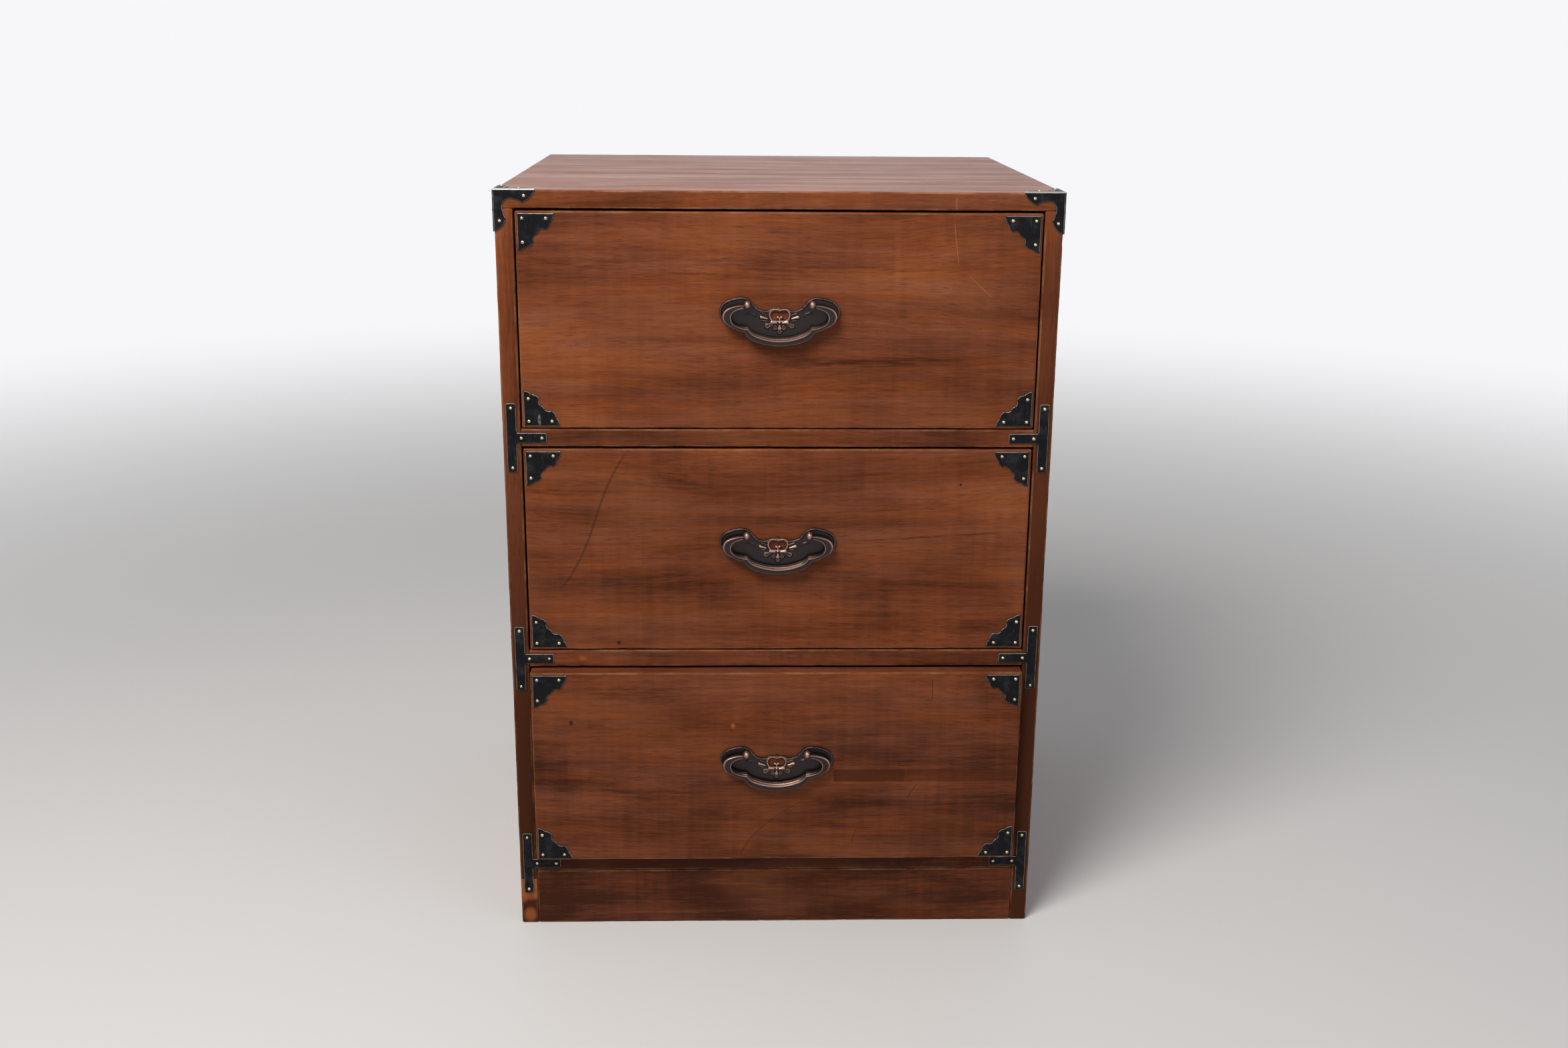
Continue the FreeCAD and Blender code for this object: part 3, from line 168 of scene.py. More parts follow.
class Shell:
    """Surfaces of one piece, with a rub weight for each point: 0 in the hollows, 1 where hands wear it."""

    def __init__(self):
        self.points = []
        self.quads = []
        self.caps = []
        self.rub = []
        self.count = 0

    def sheet(self, grid, rub, closed=False, caps=()):
        """Add a grid of points (rows, columns, 3) with its rub weights."""
        rows, columns = grid.shape[:2]
        self.quads.append(grid_quads(rows, columns, closed) + self.count)
        self.caps += [np.asarray(cap) + self.count for cap in caps]
        self.points.append(grid.reshape(-1, 3))
        self.rub.append(np.broadcast_to(rub, (rows, columns)).ravel())
        self.count += rows * columns

    def tube(self, grid, rub):
        """Add rings of points, each ring one row, closed at both ends by a flat face."""
        rows, columns = grid.shape[:2]
        ring = np.arange(columns)
        self.sheet(grid, rub, closed=True, caps=(ring, ring + (rows - 1) * columns))

    def piece(self, name, material, body, nodes, slot, crease=CREASE_DEGREES):
        """Make the object, joined where its surfaces meet, and give it its body, nodes and slot."""
        mesh = bpy.data.meshes.new(name)
        faces = np.concatenate(self.quads).tolist() + [cap.tolist() for cap in self.caps]
        mesh.from_pydata(np.concatenate(self.points), [], faces)
        weights = mesh.attributes.new("rub", "FLOAT", "POINT")
        weights.data.foreach_set("value", np.concatenate(self.rub).astype(np.float32))
        work = bmesh.new()
        work.from_mesh(mesh)
        bmesh.ops.remove_doubles(work, verts=work.verts, dist=JOIN_DISTANCE)
        bmesh.ops.dissolve_degenerate(work, edges=work.edges, dist=SLIVER_LENGTH)
        bmesh.ops.recalc_face_normals(work, faces=work.faces)
        work.to_mesh(mesh)
        work.free()
        mesh.polygons.foreach_set("use_smooth", np.ones(len(mesh.polygons), dtype=bool))
        mesh.set_sharp_from_angle(angle=math.radians(crease))
        mesh.materials.append(material)
        made = bpy.data.objects.new(name, mesh)
        bpy.context.scene.collection.objects.link(made)
        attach(made, body)
        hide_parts(*nodes)


def placed(local, origin, right, up, out):
    """Local (across, along, height) points carried to an origin and three directions."""
    return np.asarray(origin) + local @ np.array([right, up, out], dtype=float)


# Boards

EDGES = 4
ARC_STEPS = 5
# Extra points on the flats near an edge: their shares of a flat of that span, and their rub
FRINGE = np.array([0.05, 0.3])
FRINGE_SPAN = 24 * MM
FRINGE_WEIGHT = 0.12
# Stations along a board, and the rounding of its ends
STATION_STEP = 2 * MM
LEAST_STATIONS = 4
END_STEPS = np.radians([0, 25, 50, 78])
END_FRINGE = np.array([1.5, 5.0]) * MM
END_FACE = 2.5 * MM
# Dents along the edges: lengths of the waves, the power of these that gives their heights, widths of the
# chips in millimetres, their depths in dents, and the mean and the limit of both together
WOBBLE_LENGTHS = np.array([190, 83, 37, 16, 7]) * MM
WOBBLE_POWER = 0.4
CHIPS = 7
CHIP_WIDTHS = (1.2, 4.0)
CHIP_DEPTHS = (0.2, 1.1)
DENT_MEAN = 0.35
DENT_LIMIT = 1.8


def eased_section(half_wide, half_tall, ease):
    """A rectangle with quarter-circle corners, as inner points and outward directions.

    The outline is inner + ease * direction. Each flat has extra points near its corners. The weights are 1
    on the arcs and fade on the flats, one column for each corner.
    """
    turns = np.radians(np.arange(EDGES) * 90.0)
    corners = np.array([(1, 1), (-1, 1), (-1, -1), (1, -1), (1, 1)]) * (half_wide - ease, half_tall - ease)
    inner = []
    ways = []
    weights = []
    for number in range(EDGES):
        angles = turns[number] + np.linspace(0, math.pi / 2, ARC_STEPS)
        inner.append(np.repeat(corners[number][None], ARC_STEPS, axis=0))
        ways.append(np.stack([np.cos(angles), np.sin(angles)], axis=-1))
        flat = corners[number + 1] - corners[number]
        near = FRINGE * min(1.0, FRINGE_SPAN / np.linalg.norm(flat))
        shares = np.concatenate([near, 1 - near[::-1]])
        inner.append(corners[number] + shares[:, None] * flat)
        ways.append(np.repeat([[math.cos(angles[-1]), math.sin(angles[-1])]], len(shares), axis=0))
        weight = np.zeros((ARC_STEPS + len(shares), EDGES))
        weight[:ARC_STEPS, number] = 1
        weight[ARC_STEPS, number] = FRINGE_WEIGHT
        weight[-1, (number + 1) % EDGES] = FRINGE_WEIGHT
        weights.append(weight)
    return np.concatenate(inner), np.concatenate(ways), np.concatenate(weights)


def eased_length(half, ease):
    """Stations along a board, how far its section is drawn in at each, and the rub of its ends.

    At an end angle a, the station lies ease * sin(a) past the flat and is drawn in by ease * (1 - cos(a)).
    """
    flat = half - ease
    rounding = flat + ease * np.sin(END_STEPS)
    rounding[-1] = half
    count = max(LEAST_STATIONS, int(2 * flat / STATION_STEP))
    reach = flat - END_FRINGE[-1] * 2
    right = np.concatenate([flat - END_FRINGE[::-1], rounding])
    places = np.concatenate([-right[::-1], np.linspace(-reach, reach, count), right])
    inset = np.interp(np.abs(places), rounding, ease * (1 - np.cos(END_STEPS)))
    fade = [flat - END_FRINGE[1], flat - END_FRINGE[0], flat + ease / 2]
    rub = np.interp(np.abs(places), fade, [0, FRINGE_WEIGHT, 1])
    return places, inset, rub


def edge_dents(places, depth, seed):
    """Dents along four edges: a wobble of five sine waves, and a few bell-shaped chips, never proud."""
    random = np.random.default_rng(seed)
    phases = random.uniform(0, 2 * math.pi, (len(WOBBLE_LENGTHS), EDGES))
    waves = np.sin(2 * math.pi * places[:, None, None] / WOBBLE_LENGTHS[:, None] + phases)
    heights = WOBBLE_LENGTHS**WOBBLE_POWER
    wobble = (waves * heights[:, None]).sum(axis=1) / heights.sum()
    centres = random.uniform(places[0], places[-1], (CHIPS, EDGES))
    widths = random.uniform(*CHIP_WIDTHS, (CHIPS, EDGES)) * MM
    depths = random.uniform(*CHIP_DEPTHS, (CHIPS, EDGES))
    chips = (depths * np.exp(-(((places[:, None, None] - centres) / widths) ** 2))).sum(axis=1)
    return depth * np.clip(DENT_MEAN + wobble + chips, 0, DENT_LIMIT)


def board(low, high, along, seed):
    """A rounded rectangle carried along the board, drawn in at its ends and dented at its edges."""
    wood = bpy.context.scene.chest_wood
    across = (along + 1) % 3
    up = (along + 2) % 3
    low = np.array(low)
    high = np.array(high)
    half = (high - low) / 2
    middle = (high + low) / 2
    inner, ways, weights = eased_section(half[across], half[up], wood.ease)
    places, inset, end_rub = eased_length(half[along], wood.ease)
    reach = wood.ease - inset[:, None] - edge_dents(places, wood.dent, seed) @ weights.T
    grid = np.empty((len(places), len(inner), 3))
    grid[..., along] = middle[along] + places[:, None]
    grid[..., across] = middle[across] + inner[:, 0] + reach * ways[:, 0]
    grid[..., up] = middle[up] + inner[:, 1] + reach * ways[:, 1]
    rub = 1 - (1 - weights.sum(axis=1)) * (1 - end_rub[:, None])
    drawn_in = 1 - END_FACE / half
    drawn_in[along] = 1
    ends = middle + (grid[[0, -1]] - middle) * drawn_in
    plain = np.zeros((1, len(inner)))
    return np.concatenate([ends[:1], grid, ends[1:]]), np.concatenate([plain, rub, plain])


def board_piece(name, node, grain, material, body, slot, seed, rear=0.0):
    """Replace one CAD board, stopping short of its rear face by the rear distance."""
    low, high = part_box(node)
    high.y -= rear
    shell = Shell()
    shell.tube(*board(low, high, AXES[grain], seed))
    shell.piece(name, material, body, [node], slot)


# Outlines made of arcs

# How far an arc bows, in halves of its chord
QUARTER = math.tan(math.radians(22.5))
FULL = 0.39
ROUND = 0.27
EASY = 0.18
SLIGHT = 0.1
LEAST_STEPS = 2
# Sharper corners than this aren't drawn in further along their mitre
MITRE_LIMIT = 0.8


def arc(first, second, bow, shares):
    """Points of an arc over a chord: bow times half the chord high, positive to the right of it."""
    first = np.asarray(first, dtype=float)
    second = np.asarray(second, dtype=float)
    chord = second - first
    if bow == 0:
        return first + shares[:, None] * chord
    span = np.linalg.norm(chord)
    along = chord / span
    outwards = np.array([along[1], -along[0]])
    half_angle = 2 * math.atan(bow)
    radius = span / 2 / math.sin(half_angle)
    angles = (2 * shares - 1) * half_angle
    over = radius * (np.cos(angles) - math.cos(half_angle))
    return (first + second) / 2 + np.outer(radius * np.sin(angles), along) + np.outer(over, outwards)


def arc_path(corners, bows, spacing):
    """Points along the arcs that join corners in turn, without the last corner."""
    runs = []
    for first, second, bow in zip(corners, corners[1:], bows):
        count = max(LEAST_STEPS, round(math.dist(first, second) * (1 + bow * bow) / spacing))
        runs.append(arc(first, second, bow, np.arange(count) / count))
    return np.concatenate(runs)


def arc_loop(corners, bows, spacing):
    """A closed outline of arcs, anticlockwise."""
    return arc_path(list(corners) + [corners[0]], bows, spacing)


def inwards(outline):
    """The inward mitre direction at each point of a closed anticlockwise outline."""
    edges = np.roll(outline, -1, axis=0) - outline
    normals = np.stack([-edges[:, 1], edges[:, 0]], axis=-1) / np.linalg.norm(edges, axis=1)[:, None]
    summed = normals + np.roll(normals, 1, axis=0)
    return summed / np.clip((summed**2).sum(axis=1) / 2, MITRE_LIMIT, None)[:, None]


# Iron plates

# Rings of a plate's edge from its seat to its face: inset in rolls, height in thicknesses, and rub
PLATE_RINGS = ((0, 0, 0.3), (0, 0.6, 0.5), (0.28, 0.9, 1.0), (1.0, 1.0, 0.85), (2.6, 1.0, 0.0))
IRON_SPACING = 0.55
SHARP_CORNER = math.radians(25)
# Room to draw in at a sharp corner, and how it grows with the distance from one
CORNER_ROOM = 0.12 * MM
ROOM_GROWTH = 0.4


def room_to_draw_in(outline):
    """How far each point can be drawn in before its ring would cross itself near a sharp corner."""
    edges = np.roll(outline, -1, axis=0) - outline
    before = np.roll(edges, 1, axis=0)
    turning = before[:, 0] * edges[:, 1] - before[:, 1] * edges[:, 0]
    angles = np.arctan2(turning, (before * edges).sum(axis=1))
    sharp = outline[np.abs(angles) > SHARP_CORNER]
    return CORNER_ROOM + ROOM_GROWTH * np.linalg.norm(outline[:, None] - sharp[None], axis=-1).min(axis=1)


def rolled_plate(outline, thickness, free=True):
    """A rolled edge carried round an outline, of full thickness where it isn't free, with its rub."""
    roll = bpy.context.scene.chest_iron.roll
    ways = inwards(outline)
    reach = np.minimum(roll, room_to_draw_in(outline) / PLATE_RINGS[-1][0])
    rings = []
    for inset, height, rub in PLATE_RINGS:
        ring = outline + (inset * reach)[:, None] * ways
        levels = np.broadcast_to(np.where(free, height, math.ceil(height)), len(outline))
        rings.append(np.column_stack([ring, levels * thickness]))
    return np.stack(rings), np.array([[rub] for inset, height, rub in PLATE_RINGS])


def diagonal_loop(half, bows):
    """An outline alike about its diagonal, from its corner along its first leg, in metres."""
    corners = half + [(along, across) for across, along in half[:0:-1]]
    return arc_loop(corners, bows, IRON_SPACING) * MM


def corner_plate_outline():
    """A stepped corner plate."""
    half = [(0, 0), (32, 0), (28.6, 7.2), (24.5, 13.6), (18.4, 15)]
    return diagonal_loop(half, [0, ROUND, FULL, -ROUND, FULL, -ROUND, FULL, ROUND, 0])


def corner_seats(low, high):
    """The corner at the back of each of a drawer's corner plates, and the ways along its legs and out."""
    return [
        (np.array((across, high.y, level)), aside * RIGHT, upwards * UP, OUT)
        for across, aside in ((low.x, 1), (high.x, -1))
        for level, upwards in ((low.z, 1), (high.z, -1))
    ]


TEE_BAR = 4.5


def tee_outline():
    """A bar across a joint with an arm along the rail, with softened corners."""
    bar, tall, arm, reach, soft = TEE_BAR, 32, 4.65, 31.5, 1.6
    corners = [
        (soft - bar, -tall), (bar - soft, -tall), (bar, soft - tall), (bar, -arm),
        (reach - soft, -arm), (reach, soft - arm), (reach, arm - soft), (reach - soft, arm),
        (bar, arm), (bar, tall - soft), (bar - soft, tall), (soft - bar, tall),
        (-bar, tall - soft), (-bar, soft - tall),
    ]
    bows = [0, QUARTER, 0, 0, QUARTER, 0, QUARTER, 0, 0, QUARTER, 0, QUARTER, 0, QUARTER]
    return arc_loop(corners, bows, IRON_SPACING) * MM


def tee_seat(low, high, sign):
    """The middle of a tee's bar at its back, and the ways along its arm, up and out."""
    bar = (low.x if sign < 0 else high.x) - sign * TEE_BAR * MM
    return np.array((bar, high.y, (low.z + high.z) / 2)), -sign * RIGHT, UP, OUT


CAP_LEG = 36
# Points of a leaf no further than this from its legs lie on a bend
LEG_WIDTH = 1e-6
# Rub that the upper leaf has besides, as wear and as a painted reflection of the pale surroundings, and the
# rub of the bends along the head, down the corner and back
CAP_HEAD_WEAR_AND_REFLECTION = 0.55
FOLD_WEAR = (0.95, 0.7, 0.78)
FOLD_STEPS = 7
FOLD_STATIONS = 25


def cap_leaf_outline():
    """One leaf of a corner cap: two lobed legs that start at the case's corner."""
    half = [(0, 0), (CAP_LEG, 0), (24.7, 10.4), (14.5, 7.3)]
    return diagonal_loop(half, [0, ROUND, -SLIGHT, -QUARTER, -SLIGHT, ROUND, 0])


def cap_ways(sign):
    """The case's corner under a cap, and the ways inwards, back and down from it."""
    return np.array((CASE_HALF * sign, FRONT_Y, CASE_HEAD)), -sign * RIGHT, -OUT, -UP


def cap_leaves(inner, back, down):
    """The ways along and out of a cap's front, upper and side leaves."""
    return (inner, down, -back), (inner, back, -down), (back, down, -inner)


def fold(origin, along, first, second, thickness, reach):
    """The bend between two leaves: a quarter disc carried along the case's edge."""
    angles = np.linspace(0, math.pi / 2, FOLD_STEPS)
    rim = np.outer(np.cos(angles), first) + np.outer(np.sin(angles), second)
    section = np.concatenate([np.zeros((1, 3)), rim * thickness])
    stations = np.linspace(0, reach, FOLD_STATIONS)
    return np.asarray(origin) + stations[:, None, None] * np.asarray(along) + section[None]


EGG_POLE = 0.06
EGG_RINGS = 11
EGG_SIDES = 20


def egg(middle, sizes):
    """A ball drawn out along its axes: rings of sin(a) at heights cos(a), times the half widths."""
    rise = np.linspace(EGG_POLE, math.pi - EGG_POLE, EGG_RINGS)[:, None]
    turn = full_turn(EGG_SIDES)
    rings = [np.sin(rise) * np.cos(turn), np.sin(rise) * np.sin(turn), np.cos(rise) + 0 * turn]
    return np.asarray(middle) + np.stack(rings, axis=-1) * sizes


# Nails: angles of a head's rings, its size, and how heads differ in scale and lean
NAIL_RISE = np.radians([100, 90, 72, 54, 36, 18, 6])
NAIL_SIDES = 16
NAIL_HEAD = 3.2 * MM
NAIL_DOME = 1.2 * MM
NAIL_FULLNESS = 1.02
NAIL_SCALES = (0.93, 1.06)
NAIL_LEAN = 0.07
NAIL_SHINE = 1.2
NAIL_CREASE = 60
# Places of the nails in millimetres along a plate's two ways
CORNER_NAILS = ((4.2, 4.2), (25.0, 4.2), (4.2, 25.0))
TEE_NAILS = ((0, 27.8), (0, -27.8), (8.7, 0), (27.3, 0))
CAP_NAIL_EDGE = 5.0
CAP_NAILS_FAR = (26.7, 22.1, 17.5)


def nails_on(seat, thickness, places):
    """The spots on a plate's face at some places along its two ways."""
    return placed(np.array([(*place, thickness / MM) for place in places]) * MM, *seat)


def nail_heads(spots, seed):
    """Domed heads with the hammer's own tilt, and their rub.

    The ring at angle a lies half a head times sin(a) out from the middle and a dome times cos(a) up.
    """
    random = np.random.default_rng(seed)
    turn = full_turn(NAIL_SIDES)
    rise = NAIL_RISE[:, None]
    width = NAIL_HEAD / 2 * np.minimum(1.0, np.sin(rise) * NAIL_FULLNESS)
    flat = np.cos(rise) * NAIL_DOME + 0 * turn
    heads = []
    for origin, right, up, out in spots:
        scale = random.uniform(*NAIL_SCALES)
        lean = np.outer(random.normal(0, NAIL_LEAN, 2), out)
        local = np.stack([width * np.cos(turn), width * np.sin(turn), flat], axis=-1) * scale
        heads.append(placed(local, origin, right + lean[0], up + lean[1], out))
    return heads, np.clip(np.cos(rise) * NAIL_SHINE, 0, 1)


# Pulls, in millimetres across from the middle and up from the middle of the beads

POST_ACROSS = 28.9
PLATE_RIGHT = [
    (21.5, -32.4), (30.6, -24.9), (48.4, -17.6), (53.9, -7.0), (48.0, 2.2), (33.9, 6.0), (22.3, -1.0),
    (20.3, -3.2), (10.3, -5.8), (3.2, -4.1), (0.0, -2.3),
]
PLATE_BOWS = [SLIGHT, SLIGHT, ROUND, ROUND, SLIGHT, ROUND, FULL, -EASY, ROUND, -EASY]
PLATE_TIP = PLATE_RIGHT[3]
PLATE_SAG = 3.7
EYE_RIGHT = [(5.2, -14.5), (7.8, -10.0), (4.9, -6.0), (0.0, -6.9)]
EYE_BOWS = [ROUND, FULL, SLIGHT]
# Width and height of the ring round the eye
EYE_RING = (2.2, 1.1)
# The height at which the tongue in the eye is fully rubbed
TONGUE_TOP = 2.6
# Eggs of the tongue: middle across, up and out, and half widths the same ways
TONGUE = (
    ((1.5, -11.9, 1.0), (1.5, 1.5, 2.0)),
    ((-1.5, -11.9, 1.0), (1.5, 1.5, 2.0)),
    ((0.0, -14.0, 0.8), (1.0, 2.2, 1.6)),
)
# Leaves, beads and scrolls of the palmette: root, tip, half widths at both, height, and how hollow each is
ORNAMENT = (
    ((10.8, -13.1), (16.4, -11.7), 1.0, 1.9, 1.6, 0.0),
    ((10.2, -9.9), (15.2, -8.3), 0.5, 1.0, 1.0, 0.0),
    ((10.4, -15.0), (14.8, -15.0), 0.6, 1.1, 1.0, 0.0),
    ((7.0, -17.9), (11.0, -19.7), 1.3, 2.9, 1.5, 0.5),
    ((2.6, -16.8), (7.0, -16.4), 0.9, 1.9, 1.7, 0.0),
    ((0, -16.6), (0, -16.6), 1.4, 1.4, 2.0, 0.0),
    ((0, -19.2), (0, -21.8), 1.2, 2.4, 2.0, 0.0),
    ((3.6, -20.2), (3.9, -21.5), 1.8, 2.6, 1.3, 0.4),
    ((0, -25.0), (0, -25.0), 2.6, 2.6, 1.3, 0.45),
    ((21.6, -11.2), (23.9, -8.7), 0.5, 0.95, 0.8, 0.0),
    ((23.9, -8.7), (26.5, -8.0), 0.95, 1.0, 0.9, 0.0),
    ((26.5, -8.0), (28.9, -9.0), 1.0, 0.5, 0.8, 0.0),
)


def mirrored(right):
    """An outline's right half, from its base to its middle, made whole."""
    return right + [(-across, along) for across, along in right[-2::-1]]


# Columns of the plate: the reach and the step of the palmette and of the field beside it, then the lobe's
RELIEF_REACH = 19
RELIEF_STEP = 0.22
FIELD_REACH = 30
FIELD_STEP = 0.4
LOBE_COLUMNS = 56
# Rows over and under the plate's middle line, bunched towards its edges by a power
UPPER_ROWS = 44
LOWER_ROWS = 104
ROW_POWER = 1.3
OUTLINE_SPACING = 0.3
EYE_SPACING = 0.2
# Fullness of the leaves, the share of their width that a hollow takes, and the square of a bead's spine
LEAF_POWER = 0.7
HOLLOW_SHARE = 0.6
NO_SPINE = 1e-9
# Rub of the rim at its top, and of each millimetre of the eye's ring and of the leaves
RIM_RUB = 0.55
RING_RUB = 0.7
LEAF_RUB = 0.6
RUB_POWER = 1.5


def plate_columns():
    """Places across the plate: close together at the palmette, bunched by a sine at the lobes' tips."""
    relief = np.arange(0, RELIEF_REACH, RELIEF_STEP)
    field = np.arange(RELIEF_REACH, FIELD_REACH, FIELD_STEP)
    bunched = np.sin(np.linspace(0, math.pi / 2, LOBE_COLUMNS))
    lobe = FIELD_REACH + (PLATE_TIP[0] - FIELD_REACH) * bunched
    half = np.concatenate([relief, field, lobe])
    return np.concatenate([-half[:0:-1], half])


def swell(points, root, tip, root_width, tip_width, height, hollow):
    """A leaf, where x is the distance from its spine in half widths.

    It rises by height * (1 - x^2)^power * (1 - hollow * (1 - (x / share)^2)), and never sinks below 0.
    """
    root = np.array(root)
    spine = np.array(tip) - root
    share = np.clip((points - root) @ spine / max(spine @ spine, NO_SPINE), 0, 1)
    distance = np.linalg.norm(points - root - share[..., None] * spine, axis=-1)
    aside = distance / (root_width + (tip_width - root_width) * share)
    dip = hollow * np.clip(1 - (aside / HOLLOW_SHARE) ** 2, 0, None)
    return height * np.clip(1 - aside**2, 0, None) ** LEAF_POWER * (1 - dip)


def nearest(points, outline):
    """The distance from each point to a closed outline's points, a few rows at a time."""
    return np.stack([np.linalg.norm(row[:, None] - outline[None], axis=-1).min(axis=1) for row in points])


def half_round(distance, width):
    """A half-round rim: sqrt(1 - x^2), where x runs from -1 to 1 across its width."""
    return np.sqrt(np.clip(1 - (2 * distance / width - 1) ** 2, 0, None))


class PullPlate:
    """The relief of one pull's plate, worked out once and used for all three.

    The plate is two sheets of columns: one from its middle line up to its top edge and one from its bottom
    edge up to the middle line, which parts at the eye. Heights are the plate, plus the largest of the rim,
    the eye's ring and the palmette, and 0 along every edge.
    """

    def __init__(self):
        pull = bpy.context.scene.chest_pull
        self.plate = pull.plate / MM
        self.rim = pull.rim / MM
        self.rim_width = pull.rim_width / MM
        base_bow = PLATE_SAG / PLATE_RIGHT[0][0]
        bows = PLATE_BOWS + PLATE_BOWS[::-1] + [base_bow]
        self.outline = arc_loop(mirrored(PLATE_RIGHT), bows, OUTLINE_SPACING)
        self.eye = arc_loop(mirrored(EYE_RIGHT), EYE_BOWS + EYE_BOWS[::-1] + [0], EYE_SPACING)
        across = plate_columns()
        top = self.edge(self.outline, across, upper=True)
        bottom = self.edge(self.outline, across, upper=False)
        eye_reach = self.eye[:, 0].max()
        eye_level = self.eye[self.eye[:, 0].argmax(), 1]
        inside = np.abs(across) < eye_reach
        eye_top = self.edge(self.eye, across, upper=True)
        eye_bottom = self.edge(self.eye, across, upper=False)
        middle = np.interp(np.abs(across), [eye_reach, PLATE_TIP[0]], [eye_level, PLATE_TIP[1]])
        self.across = across
        self.inside = inside
        self.lines = {
            "top": top,
            "over": np.where(inside, eye_top, middle),
            "under": np.where(inside, eye_bottom, middle),
            "bottom": bottom,
        }

    @staticmethod
    def edge(outline, across, upper):
        """The level of an outline's upper or lower edge at each place across."""
        first, last = outline[:, 0].argmax(), outline[:, 0].argmin()
        turned = np.roll(outline, -first, axis=0)
        split = (last - first) % len(outline)
        run = turned[: split + 1] if upper else np.concatenate([turned[split:], turned[:1]])
        order = np.argsort(run[:, 0], kind="stable")
        return np.interp(across, run[order, 0], run[order, 1])

    def heights(self, points):
        """The height and the rub of the relief at each point."""
        rim = self.rim * half_round(nearest(points, self.outline), self.rim_width)
        ring = EYE_RING[1] * half_round(nearest(points, self.eye), EYE_RING[0])
        folded = np.stack([np.abs(points[..., 0]), points[..., 1]], axis=-1)
        leaves = np.max([swell(folded, *leaf) for leaf in ORNAMENT], axis=0)
        bump = np.max([rim, ring, leaves], axis=0)
        rub = np.max([rim / self.rim * RIM_RUB, ring * RING_RUB, leaves * LEAF_RUB], axis=0)
        return self.plate + bump, np.clip(rub, 0, 1) ** RUB_POWER

    def sheet(self, low, high, shares, edges):
        """A front sheet between two lines, with its heights dropped to 0 along the named edge rows."""
        levels = self.lines[low] + shares[:, None] * (self.lines[high] - self.lines[low])
        points = np.stack(np.broadcast_arrays(self.across, levels), axis=-1)
        height, rub = self.heights(points)
        for row, everywhere in edges:
            height[row] = np.where(self.inside | everywhere, 0, height[row])
        height[:, [0, -1]] = 0
        return np.concatenate([points, height[..., None]], axis=-1), rub

    def back(self, low, high):
        """The flat back between two lines."""
        levels = np.stack([self.lines[low], self.lines[high]])
        across = np.broadcast_to(self.across, levels.shape)
        return np.stack([across, levels, np.zeros_like(levels)], axis=-1)

    def surfaces(self):
        """Front and back sheets with their rub weights."""
        upper = 1 - (1 - np.linspace(0, 1, UPPER_ROWS)) ** ROW_POWER
        lower = np.linspace(0, 1, LOWER_ROWS) ** ROW_POWER
        return [
            self.sheet("over", "top", upper, ((0, False), (-1, True))),
            self.sheet("bottom", "under", lower, ((0, True), (-1, False))),
            (self.back("over", "top"), 0.0),
            (self.back("bottom", "under"), 0.0),
        ]


# The bail's right half at its base, cusp, foot, lobe, shoulder and arm: outside, inside, and both bevels
BAIL_OUTER = np.array(
    [(22.0, -33.8), (31.6, -25.8), (46.8, -18.6), (51.5, -10.0), (45.5, -2.6), (31.8, -0.2)]
)
BAIL_INNER = np.array(
    [(19.9, -28.6), (28.0, -22.0), (39.5, -18.6), (43.6, -11.6), (39.9, -5.4), (32.4, -3.0)]
)
OUTER_BEVEL = 0.9 * np.array([(0, 1), (-0.3, 1), (-0.5, 0.8), (-1, 0), (-0.4, -0.7), (0, -0.3)])
INNER_BEVEL = 3.0 * np.array([(0, 1), (0.2, 1), (-0.2, 0.5), (-0.3, 0), (-0.1, -0.2), (0, -0.1)])
BAIL_RAILS = (BAIL_OUTER, BAIL_OUTER + OUTER_BEVEL, BAIL_INNER, BAIL_INNER + INNER_BEVEL)
BAIL_BOWS = [EASY, SLIGHT, ROUND, ROUND, SLIGHT]
BAIL_SAG = 3.9
# Its section: shares of the outer back, outer front, inner front and inner back edges, height, rub, and a
# painted highlight added to the rub where that part of the section faces up: the inside below, or with a
# minus the outside above
BAIL_SECTION = (
    ((0, 0, 0, 1), 4.35, 0.1, 0), ((0.12, 0, 0, 0.88), 4.05, 0, 0), ((0.88, 0, 0, 0.12), 4.05, 0, 0),
    ((1, 0, 0, 0), 4.4, 0.1, 0), ((1, 0, 0, 0), 6.9, 0.1, -0.2), ((0.72, 0.28, 0, 0), 8.4, 0.2, -0.5),
    ((0, 1, 0, 0), 9.3, 0.5, -0.5), ((0, 0.93, 0.07, 0), 9.55, 0.5, -0.5),
    ((0, 0.8, 0.2, 0), 9.45, 0.05, -0.35), ((0, 0.5, 0.5, 0), 9.15, 0, 0),
    ((0, 0.14, 0.86, 0), 9.4, 0.1, 0), ((0, 0.04, 0.96, 0), 9.55, 0.7, 0.3),
    ((0, 0, 0.97, 0.03), 9.5, 0.8, 0.2), ((0, 0, 0.82, 0.18), 8.85, 0.3, 0.45),
    ((0, 0, 0.68, 0.32), 8.2, 0.35, 0.5), ((0, 0, 0.64, 0.36), 7.65, 0.05, 0.1),
    ((0, 0, 0.5, 0.5), 7.2, 0.3, 0.5), ((0, 0, 0.38, 0.62), 6.75, 0.35, 0.5),
    ((0, 0, 0.34, 0.66), 6.1, 0.05, 0.1), ((0, 0, 0.08, 0.92), 4.9, 0.2, 0.4),
)
# Share of the painted highlight that faces turned aside still get
ASIDE_HIGHLIGHT = 0.3
BAIL_STEPS = (26, 14, 22, 18, 18, 18)
BAIL_AXIS_HEIGHT = 6.8
BAIL_AXIS_DROP = 1.6
BAIL_CREASE = 28
PIN_RADIUS = 1.2
PIN_SPAN = (29.4, 33.4)
PIN_SIDES = 18
PIN_RUB = 0.2


